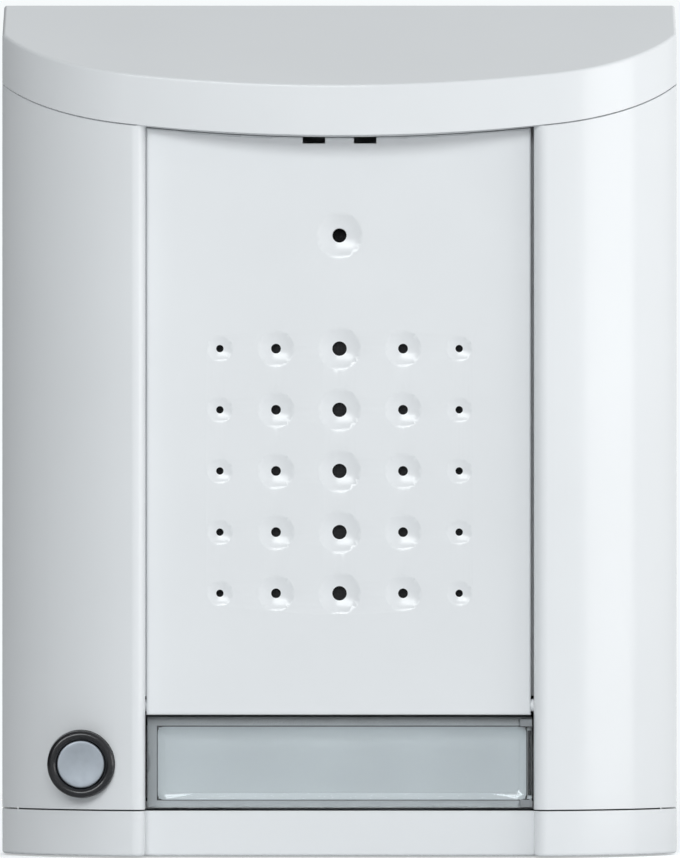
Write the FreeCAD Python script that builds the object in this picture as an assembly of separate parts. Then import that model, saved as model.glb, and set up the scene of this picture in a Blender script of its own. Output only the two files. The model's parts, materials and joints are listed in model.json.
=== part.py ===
import FreeCAD, Part
import math
import os

# Intercom door station for one call button, screwed flat to a wall.
# Millimetres. X runs to the right, Y into the wall and Z up.
# The origin is the centre of the base plate's back face, which lies on the wall.
# A depth is a distance out from the wall, so a depth of 10 lies at Y = -10.

# Body
body_width = 110.0
body_height = 138.8
body_depth = 35.0
front_arc_radius = 124.4
shoulder_fullness = 1.366
shoulder_from_opening = 3.5
side_corner_radius = 1.5
wall_thickness = 2.2
cover_wall_gap = 0.4
roof_angle = 21.8
cap_apron_height = 8.1
bottom_cap_height = 7.3
seam_gap = 0.25
piece_gap = 0.3
rim_round = 0.5

# Panel opening between the wings
opening_half_width = 31.5
opening_edge_round = 1.8
cheek_thickness = 1.8
cheek_clearance = 0.5
panel_set_back = 7.5
cross_plate_thickness = 1.2
cross_plate_behind_panel = 5.5
soffit_thickness = 1.6
soffit_behind_panel = 4.0
lip_thickness = 1.2
lip_height = 2.6
lip_gap = 0.15
wing_rib_thickness = 1.2
wing_rib_heights = (22.0, -8.0)
drain_slot_length = 8.0
drain_slot_width = 2.6
drain_slot_offset = 26.0

# Base plate
plate_thickness = 2.5
plate_corner_radius = 3.0
plate_rim_height = 3.5
plate_rim_thickness = 1.3
plate_rib_height = 2.5
plate_rib_thickness = 1.2
plate_rib_spacing = 17.3
gasket_inset = 1.8
gasket_screw_margin = 0.5
gasket_width = 2.4
gasket_depth = 1.2
wall_slot_spacing_x = 44.0
wall_slot_spacing_z = 77.0
wall_slot_centre_z = 1.5
wall_slot_width = 4.4
wall_slot_length = 8.0
wall_slot_pad = 2.4
wall_slot_pad_height = 1.0

# Cable entry
cable_bore_radius = 4.0
cable_entry_z = 34.0
grommet_wall = 1.6
grommet_flange = 1.8
grommet_flange_thickness = 1.4

# Fastening screws from the back
screw_radius = 1.2
screw_clearance = 0.25
screw_thread_gap = 0.04
screw_end_gap = 0.25
screw_head_radius = 2.4
screw_head_height = 1.3
screw_length = 9.0
screw_recess_depth = 1.6
pillar_radius = 3.0
pillar_from_side = 11.5
pillar_top_z = 44.0
pillar_low_z = -36.0
cap_post_x = 22.0
cap_post_length = 5.3
cap_post_radius = 1.8
cap_web_length = 10.6
plate_edge_margin = 0.5
bottom_post_x = 20.0
bottom_post_length = 10.0
drive_width = 0.7
drive_depth = 0.6

# Main board
board_width = 56.0
board_height = 52.0
board_centre_z = -4.0
board_back = 5.5
board_thickness = 1.6
board_corner_radius = 2.0
board_hole_inset = 3.0
standoff_radius = 2.6
board_screw_length = 5.0
terminal_count = 7
terminal_pitch = 5.0
terminal_height = 8.6
terminal_width = 9.0
terminal_entry_width = 3.2
terminal_entry_height = 3.4
terminal_entry_depth = 6.0
terminal_screw_radius = 1.6
terminal_well_depth = 2.6
terminal_entry_lift = 0.7
terminal_edge_inset = 0.7
terminal_chamfer = 0.85
terminal_screw_height = 1.3
terminal_slot_depth = 0.65
header_x = 14.0
header_from_board_edge = 4.0
header_length = 10.0
header_width = 4.0
header_height = 3.0
header_wall = 0.7
header_pins = 4
header_pin_width = 0.6
relay_from_board_edge = 6.5
relay_z = -9.0
relay_length = 20.0
relay_width = 10.0
relay_height = 6.8
relay_edge_round = 0.8
capacitor_radius = 3.6
capacitor_height = 7.5
capacitor_bead = 0.45
capacitor_from_board_edge = 4.8
capacitor_z = 5.7
chip_count = 3
chip_middle_z = -7.0
chip_height = 1.7
chip_length = 10.0
chip_width = 6.0
chip_spacing = 13.0
chip_leg_length = 1.0
chip_leg_width = 0.6
chip_leg_height = 0.57
chip_leg_pitch = 2.4
chip_leg_rows = 4
trimmer_from_board_edge = 4.7
trimmer_middle_z = -9.0
trimmer_spacing = 10.24
trimmer_width = 6.4
trimmer_height = 3.2
trimmer_rotor_radius = 2.2
trimmer_rotor_lift = 0.7
trimmer_slot_width = 0.7

# Front panel
panel_thickness = 2.0
panel_side_gap = 0.35
panel_left_shift = 0.15
panel_top_gap = 0.25
panel_bottom_from_seam = 15.55
panel_edge_round = 0.4
panel_return_depth = 5.0
panel_return_thickness = 1.2
panel_rib_height = 1.6
panel_rib_thickness = 1.0
release_slot_offset = 4.15
release_slot_width = 3.66
release_slot_height = 1.0

# Sound holes: radii by column, from the centre column outwards
speaker_share_of_panel = 0.4225
microphone_share_of_panel = 0.8306
column_offsets = (0.0, 10.3, 19.4)
row_pitch = 9.92
row_count = 5
hole_radii = (1.17, 0.79, 0.6)
dimple_radii = (3.6, 3.1, 2.2)
dimple_depths = (0.85, 0.7, 0.5)
microphone_dimple_radius = 3.9

# Panel hinge at the panel's lower edge
hinge_from_panel_bottom = 1.55
hinge_behind_panel = 1.3
hinge_pin_radius = 1.0
hinge_pin_clearance = 0.05
hinge_cheek_engagement = 1.5

# Loudspeaker
speaker_radius = 24.0
speaker_wall_gap = 0.25
chamber_rib_thickness = 1.2
chamber_corner_radius = 5.0
membrane_thickness = 0.3
speaker_gasket_thickness = 1.0
speaker_rim_width = 2.4
speaker_flange_thickness = 1.0
basket_thickness = 0.8
basket_bottom_radius = 13.0
basket_height = 5.6
basket_window_angle = 58.0
basket_window_count = 4
magnet_radius = 11.5
magnet_thickness = 4.0
magnet_plate_thickness = 0.8
cone_thickness = 0.4
cone_gap = 0.3
cone_neck_radius = 6.0
cone_neck_from_basket = 2.0
dust_cap_height = 1.6
dust_cap_fall = 0.4
clamp_width = 1.4
clamp_thickness = 1.2
clamp_boss_x = 27.0
clamp_boss_z = 15.0
clamp_boss_radius = 2.2
clamp_ear_width = 4.4
small_screw_radius = 0.9
small_screw_head_radius = 1.7
small_screw_head_height = 0.9
small_screw_length = 3.4

# Microphone
capsule_radius = 4.85
capsule_length = 4.5
capsule_clearance = 0.02
capsule_port_depth = 0.6
contact_offset = 1.6
contact_radius = 0.7
contact_height = 0.6
boot_wall = 1.3
boot_front = 1.0
boot_length = 7.0
boot_socket_thickness = 1.2
boot_socket_gap = 0.1
boot_socket_height = 3.5
sound_bore_radius = 1.2

# Name field
window_flange_behind_panel = 2.5
window_flange_thickness = 1.2
window_end_round = 0.58
window_flange_side_gap = 0.25
window_flange_end_gap = 0.4
window_top_gap = 0.75
window_rim_width = 1.2
window_rim_height = 0.3
window_front_behind_panel = 0.7
window_bevel = 1.15
window_corner_radius = 1.0
window_seat_gap = 0.2
window_left_rim = 1.6
window_hinge_inset = 0.95
window_pin_radius = 0.55
window_pin_length = 0.9
window_pin_clearance = 0.05
window_post_width = 1.9
window_post_wall = 0.3167
window_post_gap = 0.15
window_post_height = 1.15
window_post_cut = 0.28
prising_notch_length = 3.4
prising_notch_depth = 0.5
tray_rim_thickness = 1.2
tray_rim_overlap = 0.125
tray_wall = 1.2
tray_box_behind_panel = 12.3
tray_side_gap = 0.3
tray_ledge = 0.9
label_thickness = 0.5
label_margin = 0.15
led_board_thickness = 1.0
led_count = 4
led_width = 3.0
led_height = 1.6
led_thickness = 1.0
led_lens_radius = 0.53
led_lens_height = 0.27
led_pitch = 14.0
led_board_gap = 0.25
tray_ledge_rib_width = 2.0
tray_ledge_rib_depth = 3.05
tray_ledge_gap = 0.15

# Call button
button_share_of_wing = 0.441
button_from_bottom_seam = 7.6
collar_radius = 5.45
collar_behind_front = 4.4
collar_height = 7.6
collar_round = 0.7
collar_pocket_gap = 0.1
button_radius = 3.9
button_clearance = 0.1
button_below_collar = 0.5
button_cap_length = 3.8
button_cap_wall = 0.6
button_cap_top = 1.6
button_edge_round = 0.3
button_dish_depth = 0.15
button_travel = 1.0
cavity_length = 5.6
stem_radius = 1.5
stem_clearance = 0.05
stem_back = 12.6
stem_socket_depth = 0.8
stem_socket_gap = 0.02
barrel_radius = 4.0
barrel_clearance = 0.1
barrel_length = 7.9
guide_length = 6.0
clip_pocket_radius = 3.0
clip_radius = 2.7
clip_thickness = 0.6
clip_gap = 0.1
clip_groove_depth = 0.3
clip_mouth = 1.8
sleeve_radius = 6.6
sleeve_length = 5.5
nut_radius = 5.6
nut_thickness = 2.2
nut_notch = 1.0
nut_notch_count = 6
seal_thickness = 0.5
spring_wire_radius = 0.22
spring_radius = 2.35
spring_turns = 3.5
spring_end_gap = 0.05
spring_steps_per_turn = 10
button_board_side_gap = 2.75
button_board_height = 14.0
button_board_back = 6.5
button_board_corner = 1.0
button_post_radius = 2.0
switch_width = 6.0
switch_height = 3.0
switch_chamfer = 0.4
plunger_radius = 1.75
plunger_clearance = 0.06
plunger_length = 3.0
plunger_gap = 0.05

# Running values: the least round left by an offset, the length of a cut that clears the body,
# how far a cut runs past a face and how close two places count as one
least_round = 0.3
reach = 200.0
through = 0.5
same_place = 0.01

# Places worked out from the dimensions above
V = FreeCAD.Vector
full_turn = math.degrees(2 * math.pi)
half_width = body_width / 2
wing_width = half_width - opening_half_width
shoulder_arc_radius = shoulder_fullness * wing_width
shoulder_start = opening_half_width + shoulder_from_opening
half_height = body_height / 2
roof_slope = math.tan(math.radians(roof_angle))
top_z = half_height
bottom_z = -half_height
roof_thickness = wall_thickness / math.cos(math.radians(roof_angle))
seam_wall_z = top_z - cap_apron_height
bottom_seam_z = bottom_z + bottom_cap_height
panel_bottom_z = bottom_seam_z + panel_bottom_from_seam
panel_middle_top_z = seam_wall_z - roof_slope * body_depth - panel_top_gap
panel_height = panel_middle_top_z - panel_bottom_z
speaker_z = panel_bottom_z + speaker_share_of_panel * panel_height
microphone_z = panel_bottom_z + microphone_share_of_panel * panel_height
panel_depth = body_depth - panel_set_back
panel_back = panel_depth - panel_thickness
cross_plate_front = panel_depth - cross_plate_behind_panel
soffit_back = panel_depth - soffit_behind_panel
hinge_depth = panel_depth - hinge_behind_panel
window_flange_depth = panel_depth - window_flange_behind_panel
window_front_depth = panel_depth - window_front_behind_panel
tray_box_back = panel_depth - tray_box_behind_panel
drain_slot_depth = body_depth / 2
pillar_x = half_width - pillar_from_side
panel_half_width = opening_half_width - panel_side_gap
panel_left = -panel_half_width - panel_left_shift
panel_right = panel_half_width - panel_left_shift
hinge_z = panel_bottom_z + hinge_from_panel_bottom
join_angle = math.asin(shoulder_start / front_arc_radius)
front_arc_centre = body_depth - front_arc_radius
shoulder_centre_x = (front_arc_radius - shoulder_arc_radius) * math.sin(join_angle)
shoulder_centre = front_arc_centre + (front_arc_radius - shoulder_arc_radius) * math.cos(join_angle)
cheek_outer = opening_half_width + cheek_thickness
cheek_back = plate_thickness + cheek_clearance
board_front = board_back + board_thickness
board_low_z = board_centre_z - board_height / 2
board_high_z = board_centre_z + board_height / 2
relay_x = board_width / 2 - relay_from_board_edge
capacitor_x = board_width / 2 - capacitor_from_board_edge
trimmer_x = trimmer_from_board_edge - board_width / 2
button_z = bottom_seam_z + button_from_bottom_seam
plate_half_width = half_width - wall_thickness - piece_gap
plate_low_z = bottom_z + wall_thickness + piece_gap
plate_high_z = top_z - roof_thickness - roof_slope * plate_thickness - piece_gap
recess_radius = small_screw_head_radius + screw_clearance
cap_post_z = plate_high_z - recess_radius - plate_edge_margin
bottom_post_z = plate_low_z + recess_radius + plate_edge_margin
gasket_reach = recess_radius + gasket_screw_margin
rim_front = plate_thickness + plate_rim_height
window_left = -opening_half_width + window_flange_end_gap
window_right = opening_half_width - window_flange_side_gap
window_low_z = bottom_seam_z + 2 * window_flange_side_gap + piece_gap - seam_gap
window_high_z = panel_bottom_z - window_top_gap
window_centre_z = (window_low_z + window_high_z) / 2
window_back = window_flange_depth - window_flange_thickness
window_hinge_x = window_right - window_hinge_inset
window_hinge_depth = window_flange_depth - window_flange_thickness / 2
block_left = window_left + window_left_rim
block_right = window_hinge_x
block_low_z = window_low_z + window_rim_width
block_high_z = window_high_z - window_rim_width
tray_front = window_back - window_seat_gap
tray_left = -opening_half_width + tray_side_gap
tray_right = opening_half_width - tray_side_gap
label_left = block_left + label_margin
label_right = block_right - label_margin
label_low_z = block_low_z + label_margin
label_high_z = block_high_z - label_margin
label_back = tray_front - label_thickness
chamber_half = speaker_radius + speaker_wall_gap
gasket_front = panel_back - membrane_thickness
speaker_flange_front = gasket_front - speaker_gasket_thickness
speaker_flange_back = speaker_flange_front - speaker_flange_thickness
clamp_back = speaker_flange_back - clamp_thickness
basket_bottom_depth = speaker_flange_back - basket_height
cone_neck_depth = basket_bottom_depth + cone_neck_from_basket
wing_cavity_width = half_width - wall_thickness - cheek_outer
button_x = -(cheek_outer + button_share_of_wing * wing_cavity_width)
button_board_width = wing_cavity_width - 2 * button_board_side_gap
collar_front = body_depth - collar_behind_front
collar_seat_depth = collar_front - collar_height
button_front = collar_front - button_below_collar
cavity_floor = collar_front - cavity_length
guide_back = cavity_floor - guide_length
sleeve_back = collar_seat_depth - sleeve_length
barrel_back = collar_seat_depth - barrel_length
switch_back = button_board_back + board_thickness


# Basic solids, placed by depth

def box(x_low, x_high, back, front, z_low, z_high):
    return Part.makeBox(x_high - x_low, front - back, z_high - z_low, V(x_low, -front, z_low))


def rod_y(x, z, radius, back, front):
    return Part.makeCylinder(radius, front - back, V(x, -front, z), V(0, 1, 0))


def rod_x(depth, z, radius, x_low, x_high):
    return Part.makeCylinder(radius, x_high - x_low, V(x_low, -depth, z), V(1, 0, 0))


def rod_z(x, depth, radius, z_low, z_high):
    return Part.makeCylinder(radius, z_high - z_low, V(x, -depth, z_low), V(0, 0, 1))


def tube_y(x, z, outer, inner, back, front):
    bore = rod_y(x, z, inner, back - through, front + through)
    return rod_y(x, z, outer, back, front).cut(bore)


def runs_along(edge, axis):
    return edge.tangentAt(edge.FirstParameter).cross(axis).Length < same_place


def rounded_plate(x_low, x_high, back, front, z_low, z_high, radius):
    plate = box(x_low, x_high, back, front, z_low, z_high)
    edges = [edge for edge in plate.Edges if runs_along(edge, V(0, 1, 0))]
    return plate.makeFillet(radius, edges)


def turned_y(x, z, profile):
    points = [V(x + radius, -depth, z) for radius, depth in profile]
    face = Part.Face(Part.makePolygon(points + points[:1]))
    return face.revolve(V(x, 0, z), V(0, 1, 0), full_turn)


def slot_y(x, z, length, width, back, front):
    straight = (length - width) / 2
    middle = box(x - straight, x + straight, back, front, z - width / 2, z + width / 2)
    ends = [rod_y(x + side * straight, z, width / 2, back, front) for side in (-1, 1)]
    return middle.multiFuse(ends).removeSplitter()


def mirrored(shape):
    return shape.mirror(V(0, 0, 0), V(1, 0, 0))


def fused(first, others):
    return first.multiFuse(others).removeSplitter()


def cut_all(shape, tools):
    return shape.cut(Part.makeCompound(tools))


def export(name, shape):
    shape.exportStep(os.path.join("parts", name + ".step"))
    print(name, len(shape.Solids), "solids", round(shape.Volume, 2), "mm3", shape.isValid())


# Screws: a domed head with a cross drive, placed with its head's seat at a given depth.
# A screw from the back points to the front, and one from the front points to the wall.

def screw(x, z, seat, length, radius, head_radius, head_height, toward_front):
    sign = 1 if toward_front else -1
    dome = head_height / 2
    profile = [
        (0, seat + sign * length),
        (radius, seat + sign * length),
        (radius, seat),
        (head_radius, seat),
        (head_radius, seat - sign * dome),
        (head_radius - dome, seat - sign * head_height),
        (0, seat - sign * head_height),
    ]
    solid = turned_y(x, z, profile)
    outer = seat - sign * head_height
    low, high = sorted((outer + sign * drive_depth, outer - sign * through))
    arm = head_radius / 2
    across = box(x - arm, x + arm, low, high, z - drive_width / 2, z + drive_width / 2)
    along = box(x - drive_width / 2, x + drive_width / 2, low, high, z - arm, z + arm)
    return solid.cut(across.fuse(along))


def screws(places, seat, length, size, toward_front):
    return Part.makeCompound([screw(x, z, seat, length, *size, toward_front) for x, z in places])


def pilot_hole(x, z, length, size):
    return rod_y(x, z, size[0] + screw_thread_gap, -through, screw_recess_depth + length + through)


# The body's section, seen from above: a shallow front arc, two shoulder arcs and flat sides

def arc_edge(centre_x, centre_depth, start, end):
    radius = math.hypot(start[0] - centre_x, start[1] - centre_depth)
    middle_x = (start[0] + end[0]) / 2 - centre_x
    middle_depth = (start[1] + end[1]) / 2 - centre_depth
    scale = radius / math.hypot(middle_x, middle_depth)
    middle = (centre_x + middle_x * scale, centre_depth + middle_depth * scale)
    points = [V(x, -depth, 0) for x, depth in (start, middle, end)]
    return Part.Arc(*points).toShape()


def line_edge(start, end):
    return Part.LineSegment(V(start[0], -start[1], 0), V(end[0], -end[1], 0)).toShape()


def outline_marks(offset):
    side = half_width - offset
    front_radius = front_arc_radius - offset
    shoulder_radius = shoulder_arc_radius - offset
    corner = max(side_corner_radius - offset, least_round)
    corner_x = side - corner
    reach_x = corner_x - shoulder_centre_x
    corner_depth = shoulder_centre + math.sqrt((shoulder_radius - corner) ** 2 - reach_x ** 2)
    scale = shoulder_radius / (shoulder_radius - corner)
    return {
        "side": side,
        "front_radius": front_radius,
        "corner_centre": (corner_x, corner_depth),
        "corner_start": (side, corner_depth),
        "corner_end": (shoulder_centre_x + reach_x * scale,
                       shoulder_centre + (corner_depth - shoulder_centre) * scale),
        "join": (front_radius * math.sin(join_angle),
                 front_arc_centre + front_radius * math.cos(join_angle)),
    }


def front_depth(x, offset=0.0):
    if abs(x) <= shoulder_start:
        return front_arc_centre + math.sqrt((front_arc_radius - offset) ** 2 - x ** 2)
    reach_x = abs(x) - shoulder_centre_x
    return shoulder_centre + math.sqrt((shoulder_arc_radius - offset) ** 2 - reach_x ** 2)


def right_side_edges(marks, back):
    return [
        line_edge((marks["side"], back), marks["corner_start"]),
        arc_edge(*marks["corner_centre"], marks["corner_start"], marks["corner_end"]),
        arc_edge(shoulder_centre_x, shoulder_centre, marks["corner_end"], marks["join"]),
    ]


def mirrored_edges(edges):
    return [mirrored(edge) for edge in reversed(edges)]


def prism(edges, z_low, z_high):
    wire = Part.Wire(Part.__sortEdges__(edges))
    solid = Part.Face(wire).extrude(V(0, 0, z_high - z_low))
    solid.translate(V(0, 0, z_low))
    return solid


def body_prism(offset, back, z_low, z_high):
    marks = outline_marks(offset)
    right = right_side_edges(marks, back)
    left_join = (-marks["join"][0], marks["join"][1])
    front = arc_edge(0, front_arc_centre, marks["join"], left_join)
    base = line_edge((-marks["side"], back), (marks["side"], back))
    return prism(right + [front] + mirrored_edges(right) + [base], z_low, z_high)


def opening_edge_marks():
    centre_x = opening_half_width + opening_edge_round
    inner = front_arc_radius - opening_edge_round
    centre_depth = front_arc_centre + math.sqrt(inner ** 2 - centre_x ** 2)
    scale = front_arc_radius / inner
    on_front = (centre_x * scale, front_arc_centre + (centre_depth - front_arc_centre) * scale)
    return (centre_x, centre_depth), on_front, (opening_half_width, centre_depth)


def right_wing_front_edges(marks):
    centre, on_front, on_cheek = opening_edge_marks()
    return [
        arc_edge(0, front_arc_centre, marks["join"], on_front),
        arc_edge(*centre, on_front, on_cheek),
    ], on_cheek


def wing_prism(z_low, z_high):
    outer = outline_marks(0)
    inner = outline_marks(wall_thickness)
    front_edges, on_cheek = right_wing_front_edges(outer)
    inner_front = front_depth(cheek_outer, wall_thickness)
    inside = right_side_edges(inner, cover_wall_gap)
    edges = right_side_edges(outer, cover_wall_gap) + front_edges + inside
    edges += [
        line_edge(on_cheek, (opening_half_width, cheek_back)),
        line_edge((opening_half_width, cheek_back), (cheek_outer, cheek_back)),
        line_edge((cheek_outer, cheek_back), (cheek_outer, inner_front)),
        arc_edge(0, front_arc_centre, (cheek_outer, inner_front), inner["join"]),
        line_edge((inner["side"], cover_wall_gap), (outer["side"], cover_wall_gap)),
    ]
    return prism(edges, z_low, z_high)


def notched_prism(z_low, z_high):
    outer = outline_marks(0)
    front_edges, on_cheek = right_wing_front_edges(outer)
    step = line_edge(on_cheek, (opening_half_width, panel_depth))
    right = right_side_edges(outer, cover_wall_gap) + front_edges + [step]
    floor = line_edge((opening_half_width, panel_depth), (-opening_half_width, panel_depth))
    base = line_edge((-half_width, cover_wall_gap), (half_width, cover_wall_gap))
    return prism(right + [floor] + mirrored_edges(right) + [base], z_low, z_high)


# A slab between two planes that slope down to the front like the roof

def sloped_slab(low_at_wall, high_at_wall):
    drop = roof_slope * reach
    points = [
        V(-reach, 0, low_at_wall),
        V(-reach, -reach, low_at_wall - drop),
        V(-reach, -reach, high_at_wall - drop),
        V(-reach, 0, high_at_wall),
    ]
    return Part.Face(Part.makePolygon(points + points[:1])).extrude(V(2 * reach, 0, 0))


def seam_height(depth):
    return seam_wall_z - roof_slope * depth


# Places of the screws, posts and wall slots

pillar_places = [(side * pillar_x, z) for side in (-1, 1) for z in (pillar_top_z, pillar_low_z)]
cap_post_places = [(side * cap_post_x, cap_post_z) for side in (-1, 1)]
bottom_post_places = [(side * bottom_post_x, bottom_post_z) for side in (-1, 1)]
large_screw = (screw_radius, screw_head_radius, screw_head_height)
small_screw = (small_screw_radius, small_screw_head_radius, small_screw_head_height)
back_screw_places = [(x, z, large_screw, pillar_radius) for x, z in pillar_places]
back_screw_places += [(x, z, small_screw, cap_post_radius)
                      for x, z in cap_post_places + bottom_post_places]
board_hole_places = [
    (side * (board_width / 2 - board_hole_inset), z)
    for side in (-1, 1)
    for z in (board_low_z + board_hole_inset, board_high_z - board_hole_inset)
]
button_post_z = button_board_height / 2 - button_post_radius
button_board_places = [(button_x, button_z + side * button_post_z) for side in (-1, 1)]
wall_slot_places = [
    (side * wall_slot_spacing_x / 2, wall_slot_centre_z + level * wall_slot_spacing_z / 2)
    for side in (-1, 1)
    for level in (-1, 1)
]
grommet_neck_radius = cable_bore_radius + grommet_wall
grommet_flange_radius = grommet_neck_radius + grommet_flange


# Base plate, and the gasket and grommet that seal it to the wall

def plate_outline(inset, back, front):
    return rounded_plate(
        -plate_half_width + inset, plate_half_width - inset, back, front,
        plate_low_z + inset, plate_high_z - inset, plate_corner_radius)


def gasket_outline(inset, back, front):
    half = plate_half_width - gasket_inset - inset
    return rounded_plate(-half, half, back, front, bottom_post_z + gasket_reach + inset,
                         cap_post_z - gasket_reach - inset, plate_corner_radius)


def make_gasket():
    inside = gasket_outline(gasket_width, -through, gasket_depth + through)
    return gasket_outline(0, 0, gasket_depth).cut(inside)


def make_base_plate(gasket):
    plate = plate_outline(0, 0, plate_thickness)
    rim = plate_outline(0, plate_thickness, rim_front)
    rim = rim.cut(plate_outline(plate_rim_thickness, 0, rim_front + through))
    rim = rim.common(sloped_slab(bottom_z, top_z - roof_thickness - piece_gap))
    pad_length = wall_slot_length + 2 * wall_slot_pad
    pad_width = wall_slot_width + 2 * wall_slot_pad
    pads = [slot_y(x, z, pad_length, pad_width, 0, plate_thickness + wall_slot_pad_height)
            for x, z in wall_slot_places]
    standoffs = [rod_y(x, z, standoff_radius, 0, board_back) for x, z in board_hole_places]
    posts = [rod_y(x, z, button_post_radius, 0, button_board_back) for x, z in button_board_places]
    rib_front = plate_thickness + plate_rib_height
    rib_x = cheek_outer + wall_thickness
    half_rib = plate_rib_thickness / 2
    ribs = [box(side * rib_x - half_rib, side * rib_x + half_rib, 0, rib_front, board_low_z, board_high_z)
            for side in (-1, 1)]
    for side in (-1, 1):
        z = board_centre_z + side * plate_rib_spacing / 2
        ribs.append(box(-opening_half_width + standoff_radius, opening_half_width - standoff_radius,
                        0, rib_front, z - half_rib, z + half_rib))
    plate = fused(plate, [rim] + pads + standoffs + posts + ribs)
    cable_collar = rod_y(0, cable_entry_z, grommet_neck_radius, -through, board_back)
    tools = [gasket, cable_collar]
    for x, z in wall_slot_places:
        tools.append(slot_y(x, z, wall_slot_length, wall_slot_width, -through, board_back))
    for x, z, (radius, head_radius, head_height), post_radius in back_screw_places:
        tools.append(rod_y(x, z, radius + screw_clearance, -through, plate_thickness + through))
        tools.append(rod_y(x, z, head_radius + screw_clearance, -through, screw_recess_depth))
        tools.append(rod_y(x, z, post_radius + piece_gap, plate_thickness, rim_front + through))
    for x, z in cap_post_places + bottom_post_places:
        low, high = sorted((z, math.copysign(half_height, z)))
        tools.append(box(x - cap_post_radius - piece_gap, x + cap_post_radius + piece_gap,
                         plate_thickness, rim_front + through, low, high))
    for x, z in board_hole_places:
        tools.append(rod_y(x, z, screw_radius + screw_thread_gap,
                           board_front - board_screw_length - through, board_back + through))
    for x, z in button_board_places:
        tools.append(rod_y(x, z, small_screw_radius + screw_thread_gap,
                           plate_thickness, button_board_back + through))
    return cut_all(plate, tools)


def make_grommet():
    front = plate_thickness + grommet_flange_thickness
    profile = [
        (cable_bore_radius, 0),
        (grommet_neck_radius, 0),
        (grommet_neck_radius, plate_thickness),
        (grommet_flange_radius, plate_thickness),
        (grommet_flange_radius - grommet_flange_thickness / 2, front),
        (cable_bore_radius + grommet_wall / 2, front + grommet_flange_thickness),
        (cable_bore_radius, front + grommet_flange_thickness),
    ]
    return turned_y(0, cable_entry_z, profile)


# Housing shell: both wings with their cheeks, joined by cross plates at the top and bottom

def make_housing_shell():
    wing = wing_prism(bottom_seam_z + seam_gap, top_z)
    ribs = []
    inside = body_prism(wall_thickness / 2, cover_wall_gap, bottom_z, top_z)
    for z in wing_rib_heights:
        rib = box(cheek_outer - cheek_thickness / 2, half_width, rim_front + piece_gap,
                  body_depth, z - wing_rib_thickness / 2, z + wing_rib_thickness / 2)
        ribs.append(rib.common(inside))
    for z in (pillar_top_z, pillar_low_z):
        ribs.append(rod_y(pillar_x, z, pillar_radius, plate_thickness, body_depth).common(inside))
    wing = fused(wing, ribs)
    ledge_front = tray_box_back - tray_ledge_gap
    tray_ledge_rib = box(opening_half_width - tray_ledge_rib_width, cheek_outer - cheek_thickness / 2,
                         ledge_front - tray_ledge_rib_depth, ledge_front, block_low_z, block_high_z)
    wing = fused(wing, [tray_ledge_rib])
    left_wing = mirrored(wing)
    sleeve = rod_y(button_x, button_z, sleeve_radius, sleeve_back, body_depth)
    left_wing = fused(left_wing, [sleeve.common(inside)])
    half_plate = opening_half_width + cheek_thickness / 2
    low_plate = box(-half_plate, half_plate, cheek_back, cross_plate_front,
                    bottom_seam_z + seam_gap, bottom_seam_z + seam_gap + cross_plate_thickness)
    high_plate = sloped_slab(seam_wall_z - seam_gap - cross_plate_thickness, seam_wall_z - seam_gap)
    high_plate = high_plate.common(box(-half_plate, half_plate, cheek_back, cross_plate_front, 0, top_z))
    shell = fused(wing, [left_wing, low_plate, high_plate])
    tools = [
        sloped_slab(seam_wall_z - seam_gap, seam_wall_z + body_height),
        rod_x(hinge_depth, hinge_z, hinge_pin_radius + hinge_pin_clearance, -cheek_outer - through,
              cheek_outer + through),
        rod_y(button_x, button_z, collar_radius + collar_pocket_gap, collar_seat_depth, reach),
        rod_y(button_x, button_z, barrel_radius + barrel_clearance, sleeve_back - through, body_depth),
    ]
    tools += [pilot_hole(x, z, screw_length, large_screw) for x, z in pillar_places]
    return cut_all(shell, tools)


# Top cap: a rain hood with a flat sloping roof, a curved apron and an inner lip over each wing

def make_top_cap():
    outer = body_prism(0, cover_wall_gap, 0, top_z).common(sloped_slab(seam_wall_z, top_z))
    rim = [edge for edge in outer.Edges if is_roof_front(edge)]
    outer = outer.makeFillet(rim_round, rim)
    cavity = body_prism(wall_thickness, -through, 0, top_z)
    cavity = cavity.common(sloped_slab(seam_wall_z - body_height, top_z - roof_thickness))
    cap = outer.cut(cavity)
    inner = body_prism(wall_thickness / 2, cover_wall_gap, 0, top_z)
    soffit = sloped_slab(seam_wall_z, seam_wall_z + soffit_thickness).common(inner)
    soffit = soffit.common(box(-cheek_outer, cheek_outer, soffit_back, reach, 0, top_z))
    lip_outer = body_prism(wall_thickness + lip_gap, rim_front, 0, top_z)
    lip_inner = body_prism(wall_thickness + lip_gap + lip_thickness, -through, 0, top_z)
    lip_span = box(cheek_outer + lip_gap, half_width, rim_front + piece_gap, reach, 0, top_z)
    lip_slab = sloped_slab(seam_wall_z - lip_height, seam_wall_z + lip_height)
    lip = lip_outer.cut(lip_inner).common(lip_span).common(lip_slab)
    root_slab = sloped_slab(seam_wall_z, seam_wall_z + lip_height)
    root = inner.cut(lip_inner).common(lip_span).common(root_slab)
    lip = lip.fuse(root)
    half_web = wing_rib_thickness / 2
    posts = []
    for x, z in cap_post_places:
        posts.append(rod_y(x, z, cap_post_radius, plate_thickness, plate_thickness + cap_post_length))
        posts.append(box(x - half_web, x + half_web, plate_thickness, plate_thickness + cap_web_length,
                         z, top_z))
    posts = Part.makeCompound(posts).common(outer)
    cap = fused(cap, [soffit, lip, mirrored(lip)] + posts.Solids)
    return cut_all(cap, [pilot_hole(x, z, cap_post_length, small_screw) for x, z in cap_post_places])


def is_roof_front(edge):
    points = [edge.valueAt(edge.FirstParameter), edge.valueAt(edge.LastParameter)]
    on_roof = all(abs(point.z - (top_z + roof_slope * point.y)) < same_place for point in points)
    return on_roof and all(point.y < -cover_wall_gap - through for point in points)


# Bottom cap: the same section as the wings, with the panel's plane carried across its middle

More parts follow.
